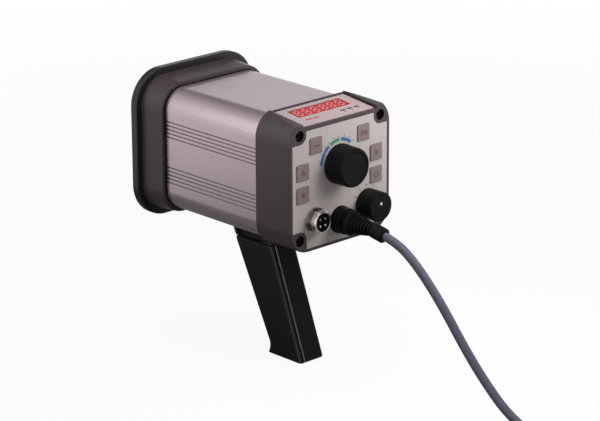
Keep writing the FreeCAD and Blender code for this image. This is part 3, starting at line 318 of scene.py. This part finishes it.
def laminations(name):
    """Stacked transformer sheets, seen as fine lines across the core."""
    made = Finish(name, (0.10, 0.095, 0.09), 0.5, Metallic=0.7)
    sheets = made.node("ShaderNodeTexWave", {"bands_direction": "X"},
                       {"Vector": made.place, "Scale": 900.0, "Distortion": 0.2})
    made.feed("Roughness", made.between(sheets, 0.4, 0.62))
    made.bump(sheets, 0.4, 0.0001)
    return made.material


def copper_turns(name):
    made = Finish(name, (0.42, 0.14, 0.045), 0.35, Metallic=0.9)
    turns = made.node("ShaderNodeTexWave", {"bands_direction": "Z"},
                      {"Vector": made.place, "Scale": 700.0, "Distortion": 0.3})
    made.feed("Roughness", made.between(turns, 0.28, 0.45))
    made.bump(turns, 0.6, 0.0002)
    return made.material


def painted_glow_red(name, colour, strength):
    """A red segment that glows as painted light: its own colour, with a little glow of its own."""
    made = Finish(name, colour, 0.4, Emission_Color=(*colour, 1), Emission_Strength=strength)
    made.feed("Roughness", made.between(made.noise(700.0), 0.35, 0.5))
    return made.material


TUBE = satin_paint("tube_lacquer", (0.545, 0.437, 0.481), 0.26, 0.8, (3.0, 0.02, 3.0))
# The cover's screw holes are painted near black: painted shade in the recesses.
COVER = moulded("cover_moulding", (0.057, 0.042, 0.049), 0.33, 1700.0, 0.00005,
                holes=(0.008, 0.007, 0.007), Specular_IOR_Level=0.42)
RIM = moulded("rim_moulding", (0.015, 0.013, 0.0135), 0.28, depth=0.00001, Specular_IOR_Level=0.38)
# The gasket's near-black, with little gloss, is painted shade for the shaded gap between bezel and
# tube.
GAP_SHADE_SEAL = rubbery("gap_shade_rubber", (0.004, 0.004, 0.004), Specular_IOR_Level=0.08)
FILM = printed_film("panel_film", (0.525, 0.47, 0.455), 0.5)
LABEL = printed_film("display_film", (0.43, 0.338, 0.342), 0.42)
KEY = printed_film("key_caps", (0.235, 0.175, 0.18), 0.5)
KEY_MARK = printed_film("key_marks", (0.13, 0.075, 0.08), 0.5)
BLACK = moulded("black_moulding", (0.0055, 0.006, 0.006), 0.36, 2400.0, 0.00004,
                Specular_IOR_Level=0.1)
MATT = moulded("matt_black", (0.003, 0.003, 0.003), 0.6, Specular_IOR_Level=0.03)
WHITE = moulded("white_inlay", (0.78, 0.78, 0.75), 0.4, vary=0.03)
RED_GLASS = clear_glass("red_filter", (0.49, 0.044, 0.063), 0.3, 0.6)
# The segments glow with a little emission: painted light, standing in for faintly lighter segments.
PAINTED_GLOW = painted_glow_red("painted_glow_segment", (1.0, 0.38, 0.35), 0.82)
UNLIT = moulded("digit_face", (0.32, 0.025, 0.03), 0.5)
BOARD = circuit_board("green_board")
# The second colour is painted shade for the thread; the third is the duller flange.
NICKEL = threaded_shell("nickel_plate", (0.84, 0.80, 0.77), (0.15, 0.13, 0.12),
                        (0.46, 0.43, 0.41), 0.16)
GILT = bare_metal("plated_contact", (0.88, 0.84, 0.76), 0.16)
STEEL = bare_metal("blackened_steel", (0.02, 0.02, 0.021), 0.3)
PLAIN_STEEL = bare_metal("plain_steel", (0.46, 0.46, 0.47), 0.3)
MIRROR = bare_metal("silvered_bowl", (0.9, 0.9, 0.91), 0.05)
GLASS = clear_glass("window_glass", (0.93, 0.95, 0.96), 0.02, 0.2)
CERAMIC = moulded("ceramic_white", (0.72, 0.69, 0.62), 0.3)
CAN = bare_metal("capacitor_can", (0.5, 0.51, 0.53), 0.25)
CORE = laminations("iron_sheets")
COPPER = copper_turns("copper_wire")
PLATE = bare_metal("aluminium_plate", (0.55, 0.55, 0.56), 0.4, (1, 30, 1))
GRIP = moulded("grip_moulding", (0.013, 0.0137, 0.0137), 0.42, 2000.0, 0.00005,
               strip=(-11.45, -10.2, 0.1),
               Specular_IOR_Level=0.13, Coat_IOR=1.8, Coat_Roughness=0.2)
STRAP = moulded("strap_moulding", (0.0098, 0.0104, 0.0107), 0.4, 1800.0, 0.00001,
                strip=(-8.15, -7.2, 0.8),
                Specular_IOR_Level=0.06, Coat_IOR=1.8, Coat_Roughness=0.22)
BRASS = bare_metal("turned_brass", (0.62, 0.45, 0.18), 0.25)
PLUG = rubbery("plug_rubber", (0.003, 0.0034, 0.0032), 0.42, Specular_IOR_Level=0.12)
JACKET = moulded("cord_jacket", (0.118, 0.115, 0.160), 0.4, 2600.0, 0.00002, vary=0.06,
                 Specular_IOR_Level=0.2)
INK_BLUE = printed_film("blue_ink", (0.035, 0.14, 0.36), 0.5)
INK_GREEN = printed_film("green_ink", (0.05, 0.26, 0.13), 0.5)
INK_DARK = printed_film("dark_ink", (0.05, 0.035, 0.04), 0.5)
INK_RED = printed_film("red_ink", (0.42, 0.04, 0.045), 0.5)


# Pieces


# Degrees between faces above which an edge stays sharp
SHARP = 35


def in_scene(name, data):
    """A new object, put in the scene."""
    made = bpy.data.objects.new(name, data)
    bpy.context.collection.objects.link(made)
    return made


def smooth(mesh, angle):
    """Shade a mesh smooth across its gentle edges."""
    mesh.shade_smooth()
    mesh.set_sharp_from_angle(angle=math.radians(angle))


def plain_mesh(piece):
    """A piece's mesh with its modifiers worked in."""
    found = bpy.context.evaluated_depsgraph_get()
    return bpy.data.meshes.new_from_object(piece.evaluated_get(found))


def finish_mesh(mesh, name, material, body, angle=SHARP):
    """Put a finished mesh in the scene, smooth across gentle edges, on its body."""
    mesh.materials.clear()
    mesh.materials.append(material)
    piece = in_scene(name, mesh)
    smooth(mesh, angle)
    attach(piece, body)


def body_of_node(node):
    for body, nodes in frame["record"]["behaviour"]["bodies"].items():
        if node in nodes:
            return body
    return HOUSING


def merged_copy(node):
    """A CAD node's mesh with its doubles merged and its flat faces joined up."""
    work = bmesh.new()
    work.from_mesh(frame["nodes"][node].data)
    bmesh.ops.remove_doubles(work, verts=work.verts, dist=0.000002)
    bmesh.ops.dissolve_limit(work, angle_limit=math.radians(0.6), verts=work.verts, edges=work.edges)
    mesh = bpy.data.meshes.new(node + "_dressed")
    work.to_mesh(mesh)
    work.free()
    return mesh


def settle(piece):
    """Apply a piece's modifiers, so that its mesh is plain."""
    mesh = plain_mesh(piece)
    piece.modifiers.clear()
    piece.data = mesh


def dress(node, material, edge=0.0, angle=SHARP):
    """Give a CAD node its finish, and edges softened by a width in millimetres."""
    mesh = merged_copy(node)
    mesh.materials.append(material)
    piece = in_scene(node + "_skin", mesh)
    if edge:
        soft = piece.modifiers.new("edge", "BEVEL")
        soft.width = edge * MM
        soft.segments = 2
        soft.limit_method = "ANGLE"
        soft.angle_limit = math.radians(angle)
        soft.use_clamp_overlap = True
        settle(piece)
    smooth(piece.data, angle)
    even = piece.modifiers.new("even", "WEIGHTED_NORMAL")
    even.keep_sharp = True
    settle(piece)
    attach(piece, body_of_node(node))
    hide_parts(node)


def paint(node, material):
    """Give a CAD node its finish as it is."""
    mesh = frame["nodes"][node].data
    mesh.materials.clear()
    mesh.materials.append(material)


def flat_piece(name, outlines, thick, material, body, place=None):
    """Thin printed pieces from closed outlines of (x, z) points in millimetres."""
    work = bmesh.new()
    for outline in outlines:
        ring = [work.verts.new((x, 0, z)) for x, z in outline]
        work.faces.new(ring)
    bmesh.ops.recalc_face_normals(work, faces=work.faces)
    faces = list(work.faces)
    for face in faces:
        if face.normal.y > 0:
            face.normal_flip()
    grown = bmesh.ops.extrude_face_region(work, geom=faces)
    moved = [v for v in grown["geom"] if isinstance(v, bmesh.types.BMVert)]
    bmesh.ops.translate(work, verts=moved, vec=(0, -thick, 0))
    bmesh.ops.recalc_face_normals(work, faces=work.faces)
    move = place or Matrix.Identity(4)
    for vert in work.verts:
        vert.co = at(*(move @ vert.co))
    mesh = bpy.data.meshes.new(name)
    work.to_mesh(mesh)
    work.free()
    finish_mesh(mesh, name, material, body)


def arc_band(x, z, inner, outer, start, stop, steps=24):
    """Outline of a band from one compass angle to another, clockwise from the top."""
    turns = [math.radians(start + (stop - start) * k / steps) for k in range(steps + 1)]
    far = [(x + outer * math.sin(a), z + outer * math.cos(a)) for a in turns]
    near = [(x + inner * math.sin(a), z + inner * math.cos(a)) for a in reversed(turns)]
    return far + near


def bar(x0, x1, z0, z1):
    return [(x0, z0), (x1, z0), (x1, z1), (x0, z1)]


# Repeating forms, as node trees


class Tree:
    """A geometry node tree with named inputs."""

    def __init__(self, name, inputs):
        self.tree = bpy.data.node_groups.new(name, "GeometryNodeTree")
        face = self.tree.interface
        face.new_socket("Geometry", in_out="OUTPUT", socket_type="NodeSocketGeometry")
        self.ids = {}
        for key, (kind, value) in inputs.items():
            socket = face.new_socket(key, in_out="INPUT", socket_type="NodeSocket" + kind)
            if value is not None:
                socket.default_value = value
            self.ids[key] = socket.identifier
        self.entry = self.tree.nodes.new("NodeGroupInput")
        self.exit = self.tree.nodes.new("NodeGroupOutput")

    def add(self, kind, links, **settings):
        node = self.tree.nodes.new(kind)
        for key, value in settings.items():
            setattr(node, key, value)
        for key, value in links.items():
            if isinstance(value, bpy.types.NodeSocket):
                self.tree.links.new(value, node.inputs[key])
            else:
                node.inputs[key].default_value = value
        return node

    def end(self, geometry, material):
        real = self.add("GeometryNodeRealizeInstances", {"Geometry": geometry})
        given = self.add("GeometryNodeSetMaterial", {
            "Geometry": real.outputs[0], "Material": material})
        self.tree.links.new(given.outputs[0], self.exit.inputs[0])

    def grow(self, values):
        """Run the tree with these sizes and hand back its plain mesh."""
        holder = in_scene("grown", bpy.data.meshes.new("grown"))
        changer = holder.modifiers.new("grow", "NODES")
        changer.node_group = self.tree
        for key, value in values.items():
            changer[self.ids[key]] = value
        mesh = plain_mesh(holder)
        holder.modifiers.clear()
        bpy.data.objects.remove(holder)
        return mesh


def rib_ring_tree():
    """Bars of one size standing in a ring about Z, each turned to face out."""
    made = Tree("rib_ring", {
        "Count": ("Int", 24), "Radius": ("Float", 0.01), "Size": ("Vector", (0.001, 0.001, 0.01)),
        "Material": ("Material", None),
    })
    ask = made.entry.outputs
    ring = made.add("GeometryNodeMeshCircle", {"Vertices": ask["Count"], "Radius": ask["Radius"]})
    rib = made.add("GeometryNodeMeshCube", {"Size": ask["Size"]})
    order = made.add("GeometryNodeInputIndex", {})
    share = made.add("ShaderNodeMath", {0: order.outputs[0], 1: ask["Count"]}, operation="DIVIDE")
    turn = made.add("ShaderNodeMath", {0: share.outputs[0], 1: 2 * math.pi}, operation="MULTIPLY")
    spin = made.add("ShaderNodeCombineXYZ", {"Z": turn.outputs[0]})
    stand = made.add("GeometryNodeInstanceOnPoints", {
        "Points": ring.outputs["Mesh"], "Instance": rib.outputs["Mesh"],
        "Rotation": spin.outputs[0]})
    made.end(stand.outputs[0], ask["Material"])
    return made


def thread_tree():
    """Equal round-backed rings, one above the other along Z, like a fine thread."""
    made = Tree("thread_rings", {
        "Count": ("Int", 6), "Pitch": ("Float", 0.0008), "Radius": ("Float", 0.0079),
        "Crest": ("Float", 0.0003), "Material": ("Material", None),
    })
    ask = made.entry.outputs
    step = made.add("ShaderNodeCombineXYZ", {"Z": ask["Pitch"]})
    line = made.add("GeometryNodeMeshLine", {"Count": ask["Count"], "Offset": step.outputs[0]})
    hoop = made.add("GeometryNodeCurvePrimitiveCircle", {"Radius": ask["Radius"], "Resolution": 72})
    wire = made.add("GeometryNodeCurvePrimitiveCircle", {"Radius": ask["Crest"], "Resolution": 8})
    ring = made.add("GeometryNodeCurveToMesh", {
        "Curve": hoop.outputs[0], "Profile Curve": wire.outputs[0]})
    stack = made.add("GeometryNodeInstanceOnPoints", {
        "Points": line.outputs["Mesh"], "Instance": ring.outputs[0]})
    made.end(stack.outputs[0], ask["Material"])
    return made


def along_y(mesh, x, y, z):
    """Lay a mesh that was grown about Z along -Y, with its foot at a place on the drawing."""
    mesh.transform(Matrix.Translation(at(x, y, z)) @ Matrix.Rotation(math.radians(90), 4, "X"))
    mesh.update()


# Places across and up the control face, in millimetres from the axis
DIAL = (-1.3, 10.5)
SELECTOR = (25.2, -23.8)
SOCKET = (-24.8, -24.8)
# The display channel's floor rises ahead at this slope, from this height at the control face
SLOPE = math.atan2(3.9, 33.6)
FLOOR_OF_CHANNEL = 42.3
# How thick the printed marks are, and the inner and outer radius of each ring of them
INK_THICK = 0.05
SIGN_THICK = 0.04
SCALE_BAND = (15.9, 18.3)
SCALE_TICK = (18.8, 20.0)
KNOB_TICK = (12.0, 13.5)


def up_slope(rise):
    """Takes a sheet drawn upright, with z up the slope, to a height over the channel's floor."""
    lie = Matrix.Rotation(math.radians(-90) + SLOPE, 4, "X")
    lift = Matrix.Rotation(SLOPE, 4, "X") @ Vector((0, 0, rise))
    return Matrix.Translation(Vector((0, 0, FLOOR_OF_CHANNEL)) + lift) @ lie


def control_panel_print():
    """The scale round the dial and the marks round the knob."""
    blue = [arc_band(*DIAL, *SCALE_BAND, -84, -34), arc_band(*DIAL, *SCALE_BAND, 6, 40)]
    green = [arc_band(*DIAL, *SCALE_BAND, -29, 1)]
    flat_piece("dial_scale_blue", blue, INK_THICK, INK_BLUE, HOUSING)
    flat_piece("dial_scale_green", green, INK_THICK, INK_GREEN, HOUSING)
    marks = [arc_band(*DIAL, *SCALE_TICK, a - 0.9, a + 0.9, 2) for a in range(-75, 46, 15)]
    marks += [arc_band(*SELECTOR, *KNOB_TICK, a - 1.6, a + 1.6, 2) for a in (-60, -30, 0, 30)]
    flat_piece("panel_marks", marks, INK_THICK, INK_DARK, HOUSING)


def display_print():
    """Small plain marks under the display, where the units are shown."""
    pitch = 6.6
    dark = [bar(9 + pitch * k, 13.6 + pitch * k, 8.6, 10.6) for k in range(3)]
    red = [bar(10.4 + pitch * k, 12.2 + pitch * k, 6.3, 7.3) for k in range(3)]
    red += [bar(-23.5, -17.6, 8.8, 10.4), bar(-16.4, -11.6, 8.8, 10.4)]
    place = up_slope(0.6)
    flat_piece("unit_marks", dark, INK_THICK, INK_DARK, HOUSING, place)
    flat_piece("unit_marks_red", red, INK_THICK, INK_RED, HOUSING, place)


def key_signs():
    """A plain sign on each key: arrows to step, bars and a ring for the rest."""
    signs = {
        "key_left_upper": lambda x, z: [bar(x - 3, x + 3, z - 0.5, z + 0.5)],
        "key_left_middle": lambda x, z: [[(x - 2.4, z - 1.6), (x + 2.4, z - 1.6), (x, z + 2.2)]],
        "key_left_lower": lambda x, z: [[(x - 2.4, z + 1.6), (x, z - 2.2), (x + 2.4, z + 1.6)]],
        "key_right_upper": lambda x, z: [bar(x - 3, x - 0.6, z - 1.7, z + 1.7),
                                         bar(x + 0.6, x + 3, z - 1.7, z + 1.7)],
        "key_right_middle": lambda x, z: [[(x - 1.6, z - 2.4), (x + 2.2, z), (x - 1.6, z + 2.4)]],
        "key_right_lower": lambda x, z: [arc_band(x, z, 1.5, 2.3, 0, 180, 12),
                                         arc_band(x, z, 1.5, 2.3, 180, 360, 12)],
    }
    key_face = Matrix.Translation((0, -0.8, 0))
    for key, draw in signs.items():
        low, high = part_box(key)
        x = (low[0] + high[0]) / 2 / MM
        z = (low[2] + high[2]) / 2 / MM - HEIGHT
        flat_piece(key + "_sign", draw(x, z), SIGN_THICK, KEY_MARK, key + "_body",
                   key_face)


def seven_segments(x, z, width, height, stroke):
    """Outlines of a digit's seven bars, leaned a little."""
    w, h, s = width / 2, height / 2, stroke / 2
    flat = [(-w + s, w - s, level) for level in (-h, 0, h)]
    tall = [(side * w, low + s, low + h - s) for side in (-1, 1) for low in (-h, 0)]
    shapes = []
    for x0, x1, level in flat:
        shapes.append([(x0, level), (x0 + s, level - s), (x1 - s, level - s),
                       (x1, level), (x1 - s, level + s), (x0 + s, level + s)])
    for side, z0, z1 in tall:
        shapes.append([(side, z0), (side + s, z0 + s), (side + s, z1 - s),
                       (side, z1), (side - s, z1 - s), (side - s, z0 + s)])
    return [[(x + px + 0.09 * pz, z + pz) for px, pz in shape] for shape in shapes]


def display_segments():
    """Six digits under the red window, which glow as painted light."""
    middle, pitch, up = 0.1, 7.8, 21.4
    width, height, stroke = 4.2, 8.0, 1.0
    shapes = []
    for k in range(6):
        shapes += seven_segments(middle + (k - 2.5) * pitch, up, width, height, stroke)
    flat_piece("digit_segments", shapes, 0.1, PAINTED_GLOW, HOUSING, up_slope(0.35))


def panel_controls():
    """Dial, knob and keys, with the ribs that fingers turn the dial by."""
    dress("main_dial", BLACK, 0.25)
    dress("selector_knob", BLACK, 0.25)
    dress("selector_dot", WHITE, 0.05)
    rib = (0.45 * MM, 0.5 * MM, 10.8 * MM)
    ribs = rib_ring_tree().grow({"Count": 60, "Radius": 13.72 * MM, "Size": rib, "Material": BLACK})
    along_y(ribs, DIAL[0], -8.6, DIAL[1])
    finish_mesh(ribs, "dial_ribs", BLACK, "dial")
    for side in ("left", "right"):
        for level in ("upper", "middle", "lower"):
            dress(f"key_{side}_{level}", KEY, 0.12)


def signal_socket():
    """Plated shell with a fine thread, black insert and gilt contacts."""
    dress("socket_shell", NICKEL, 0.12)
    threads = thread_tree().grow({"Count": 5, "Pitch": 0.8 * MM, "Radius": 7.86 * MM,
                                  "Crest": 0.26 * MM, "Material": NICKEL})
    along_y(threads, SOCKET[0], -2.5, SOCKET[1])
    finish_mesh(threads, "socket_thread", NICKEL, HOUSING, 60)
    dress("socket_insert", MATT, 0.1)
    dress("socket_pins", GILT, 0.2)


def power_connection():
    dress("power_inlet", BLACK, 0.2)
    dress("plug_ring", PLUG, 0.25)
    dress("power_plug", PLUG, 0.2)
    dress("strain_relief", PLUG, 0.18)
    dress("mains_plug", PLUG, 0.6)
    dress("mains_pins", BRASS, 0.2)


def body_pieces():
    dress("body_tube", TUBE, 0.12, 30)
    dress("rear_cover", COVER, 0.3, 30)
    dress("front_bezel", COVER, 0.35, 30)
    dress("front_rim", RIM, 0.2, 30)
    dress("bezel_gasket", GAP_SHADE_SEAL, 0.15)
    dress("panel_overlay", FILM, 0.06)
    dress("display_label", LABEL, 0.06)
    dress("display_window", RED_GLASS, 0.1)
    dress("rear_screws", STEEL, 0.15)
    dress("front_screws", STEEL, 0.15)


def grip_pieces():
    dress("grip_left", GRIP, 0.2, 30)
    dress("grip_right", GRIP, 0.2, 30)
    dress("grip_strap", STRAP, 0.2, 30)
    dress("grip_saddle", GRIP, 0.15, 30)
    dress("tripod_bush", BRASS, 0.2)
    dress("grip_screws", STEEL, 0.2)


def lamp_pieces():
    dress("front_window", GLASS, 0.3)
    dress("reflector", MIRROR)
    dress("xenon_tube", GLASS)
    dress("lamp_base", CERAMIC, 0.4)
    dress("lamp_socket", CERAMIC, 0.4)
    paint("tube_electrodes", PLAIN_STEEL)
    paint("lamp_bulkhead", PLATE)


def inner_pieces():
    for node in ("main_board", "panel_board", "display_board"):
        paint(node, BOARD)
    for node in ("board_standoffs", "saddle_screws", "dial_shaft", "selector_shaft", "dial_encoder",
                 "socket_nut"):
        paint(node, PLAIN_STEEL)
    for node in ("key_switches", "rotary_switch", "inlet_nut"):
        paint(node, BLACK)
    paint("display_digits", UNLIT)
    paint("flash_capacitor", CAN)
    paint("transformer_core", CORE)
    paint("transformer_winding", COPPER)


# Cord


# The middle line on its way to the floor and at the mains plug, and the sizes of the coil between,
# which has this many turns in each of its two layers
LEAD = (
    (-0.5, -44.1, -31.9),
    (-0.5, -55.0, -33.9),
    (-0.6, -68.5, -40.9),
    (-0.9, -84.3, -53.2),
    (-1.3, -101.6, -70.0),
    (-1.1, -118.2, -89.8),
    (-0.4, -135.8, -108.9),
    (0.5, -158.4, -128.7),
    (1.3, -187.0, -139.5),
    (1.2, -216.0, -139.9),
    (0.3, -240.0, -139.9),
)
TAIL = (
    (-91.8, -243.0, -133.05),
    (-91.0, -223.0, -133.0),
    (-91.0, -206.0, -133.0),
)
COIL_CENTRE = (-46.0, -268.2)
COIL_RADIUS = 46.0
COIL_PITCH = 6.85
COIL_TURNS = 3.0
CORD_DIAMETER = 6.2


def coil_point(angle):
    """The coil's middle line: wound in, up a layer as it reverses, and out again."""
    wound = COIL_TURNS * 2 * math.pi
    rate = COIL_PITCH / (2 * math.pi)
    level = -HEIGHT + CORD_DIAMETER / 2
    if angle <= wound:
        radius, z = COIL_RADIUS - rate * angle, level
    elif angle < wound + math.pi:
        u = angle - wound
        radius = COIL_RADIUS - rate * wound - rate * u + rate * u ** 2 / math.pi
        z = level + COIL_PITCH * (u - math.sin(2 * u) / 2) / math.pi
    else:
        radius, z = COIL_RADIUS - rate * wound + rate * (angle - wound - math.pi), level + COIL_PITCH
    x, y = COIL_CENTRE
    return (x + radius * math.cos(-angle), y + radius * math.sin(-angle), z)


def cord():
    """One smooth line from the strain relief, down to the floor, round the coil and to the plug."""
    per_turn = 16
    count = round((2 * COIL_TURNS + 0.5) * per_turn)
    turns = [coil_point(k * 2 * math.pi / per_turn) for k in range(count + 1)]
    points = [at(*p) for p in list(LEAD) + turns + list(TAIL)]
    curve = bpy.data.curves.new("mains_cord", "CURVE")
    curve.dimensions = "3D"
    line = curve.splines.new("NURBS")
    line.points.add(len(points) - 1)
    for spot, point in zip(line.points, points):
        spot.co = (*point, 1)
    line.order_u = 3
    line.use_endpoint_u = True
    line.resolution_u = 8
    curve.bevel_depth = CORD_DIAMETER / 2 * MM
    curve.bevel_resolution = 6
    curve.use_fill_caps = True
    curve.materials.append(JACKET)
    piece = in_scene("mains_cord", curve)
    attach(piece, HOUSING)
    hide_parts("cord_lead", "cord_coil", "cord_tail")
    tuple(at(*LEAD[0]))


# Stage


# The fitted camera, in pixels of the picture, degrees, and millimetres on the drawing
PICTURE_WIDTH = 600
FOCAL_LENGTH = 2724.12
FRAME_SHIFT = (-14.04, -0.29)
HEADING, DIP, ROLL = 43.64, 18.37, -0.16
EYE = (-1242.96, -1277.07, 568.17)
SENSOR_WIDTH = 36


def camera():
    """The eye that the picture was fitted with."""
    view = bpy.data.cameras.new("camera")
    view.sensor_width = SENSOR_WIDTH
    view.lens = FOCAL_LENGTH * SENSOR_WIDTH / PICTURE_WIDTH
    view.shift_x, view.shift_y = (pixels / PICTURE_WIDTH for pixels in FRAME_SHIFT)
    view.clip_end = 30
    yaw, pitch, roll = (math.radians(v) for v in (HEADING, DIP, ROLL))
    level = math.cos(pitch)
    ahead = Vector((math.sin(yaw) * level, math.cos(yaw) * level, -math.sin(pitch)))
    right = Vector((math.cos(yaw), -math.sin(yaw), 0))
    up = right.cross(ahead)
    across = right * math.cos(roll) + up * math.sin(roll)
    upright = up * math.cos(roll) - right * math.sin(roll)
    seat = Matrix((across, upright, -ahead)).transposed().to_4x4()
    seat.translation = at(*EYE)
    eye = in_scene("camera", view)
    eye.matrix_world = seat
    bpy.context.scene.camera = eye


def panel_light(name, place, target, size, power, mirrored=True):
    """A soft lamp. One that isn't mirrored leaves no bright patch on metal and film."""
    lamp = bpy.data.lights.new(name, "AREA")
    lamp.shape = "RECTANGLE"
    lamp.size, lamp.size_y = size
    lamp.energy = power
    holder = in_scene(name, lamp)
    holder.visible_camera = False
    holder.visible_glossy = mirrored
    holder.location = place
    aim = Vector(target) - Vector(place)
    holder.rotation_euler = aim.to_track_quat("-Z", "Y").to_euler()


def seen_or_mirrored(tree, in_gloss=1.0):
    """One where a ray comes from the camera or through glass, and a share of one in a gloss."""
    path = tree.nodes.new("ShaderNodeLightPath")
    seen = Sock(tree, path.outputs["Is Camera Ray"])
    gloss = Sock(tree, path.outputs["Is Glossy Ray"]) * in_gloss
    glass = Sock(tree, path.outputs["Is Transmission Ray"])
    return seen.maths("MAXIMUM", gloss).maths("MAXIMUM", glass)


def ramp(tree, value, start, stop, low, high):
    made = tree.nodes.new("ShaderNodeMapRange")
    for name, number in (("From Min", start), ("From Max", stop), ("To Min", low), ("To Max", high)):
        made.inputs[name].default_value = number
    tree.links.new(value, made.inputs["Value"])
    return Sock(tree, made.outputs[0])


def whitened(node, strength):
    """Set a glow or a background to plain white, at a strength."""
    node.inputs["Color"].default_value = (1, 1, 1, 1)
    node.inputs["Strength"].default_value = strength
    return node


def blend(tree, share, first, second):
    """Two shaders mixed, where a share of one is all the second."""
    mix = tree.nodes.new("ShaderNodeMixShader")
    for place, link in zip(mix.inputs, (share.link, first.outputs[0], second.outputs[0])):
        tree.links.new(link, place)
    return mix


# Metres from the middle of the floor to its sides, and its greys to the eye and to other rays
FLOOR_REACH = 9.0
FLOOR_SEEN = (0.85, 0.85, 0.85)
FLOOR_BOUNCE = (0.22, 0.22, 0.22)


def ground():
    """A wide pale floor, nearly white to the eye, that keeps a soft shadow near the object."""
    mesh = bpy.data.meshes.new("ground")
    ends = (-FLOOR_REACH, FLOOR_REACH)
    mesh.from_pydata([(x, y, 0) for x in ends for y in ends], [], [(0, 2, 3, 1)])
    made = Finish("ground_white", FLOOR_SEEN, 0.9)
    tree = made.tree
    away = tree.nodes.new("ShaderNodeVectorMath")
    away.operation = "LENGTH"
    tree.links.new(made.place.link, away.inputs[0])
    distance = away.outputs["Value"]
    seen = seen_or_mirrored(tree, ramp(tree, distance, 0.3, 0.6, 0.0, 1.0))
    direct = Sock(tree, tree.nodes.new("ShaderNodeLightPath").outputs["Is Camera Ray"])
    made.feed("Base Color", made.tint(direct, FLOOR_BOUNCE, FLOOR_SEEN))
    share = seen * ramp(tree, distance, 0.45, 1.1, 0.93, 1.0)
    glow = whitened(tree.nodes.new("ShaderNodeEmission"), 1.0)
    mix = blend(tree, share, made.shader, glow)
    tree.links.new(mix.outputs[0], tree.nodes["Material Output"].inputs["Surface"])
    mesh.materials.append(made.material)
    floor = in_scene("ground", mesh)


# Strengths of the light from all round, and of what the eye and a gloss see of it
ROUND_LIGHT = 0.2
DOME_PALE = 0.8
DOME_DIM = 0.05


def surroundings():
    """Even light from all round. The eye and a gloss see it pale, and dim high at the right."""
    world = bpy.data.worlds.new("studio")
    bpy.context.scene.world = world
    world.use_nodes = True
    tree = world.node_tree
    sky = whitened(tree.nodes["Background"], ROUND_LIGHT)
    pale = whitened(tree.nodes.new("ShaderNodeBackground"), DOME_PALE)
    dim = whitened(tree.nodes.new("ShaderNodeBackground"), DOME_DIM)
    place = tree.nodes.new("ShaderNodeTexCoord")
    split = tree.nodes.new("ShaderNodeSeparateXYZ")
    tree.links.new(place.outputs["Generated"], split.inputs[0])
    high = ramp(tree, split.outputs["Z"], 0.33, 0.52, 0.0, 1.0)
    right = ramp(tree, split.outputs["X"], -0.42, 0.42, 0.0, 1.0)
    dome = blend(tree, high * right, pale, dim)
    mix = blend(tree, seen_or_mirrored(tree), sky, dome)
    tree.links.new(mix.outputs[0], tree.nodes["World Output"].inputs["Surface"])


def lights():
    """Four soft lamps: each one's place, target and size in metres, then its power in watts."""
    panel_light("overhead", (-0.1, 0.0, 1.0), (0, 0, 0.15), (0.5, 0.5), 3.4)
    panel_light("left_near", (-0.38, 0.2, 0.37), (-0.046, 0.03, 0.16), (0.4, 0.4), 0.28)
    panel_light("rear_near", (0.13, -0.2, 0.3), (0.01, -0.046, 0.145), (0.2, 0.2), 0.72, False)
    panel_light("edge_strip", (-1.2, -0.7, 0.35), (0, 0, 0.1), (0.12, 0.9), 2.7)


body_pieces()
control_panel_print()
display_print()
panel_controls()
key_signs()
display_segments()
signal_socket()
power_connection()
grip_pieces()
lamp_pieces()
inner_pieces()
cord()
camera()
ground()
surroundings()
lights()
bpy.context.scene.view_settings.view_transform = "Standard"
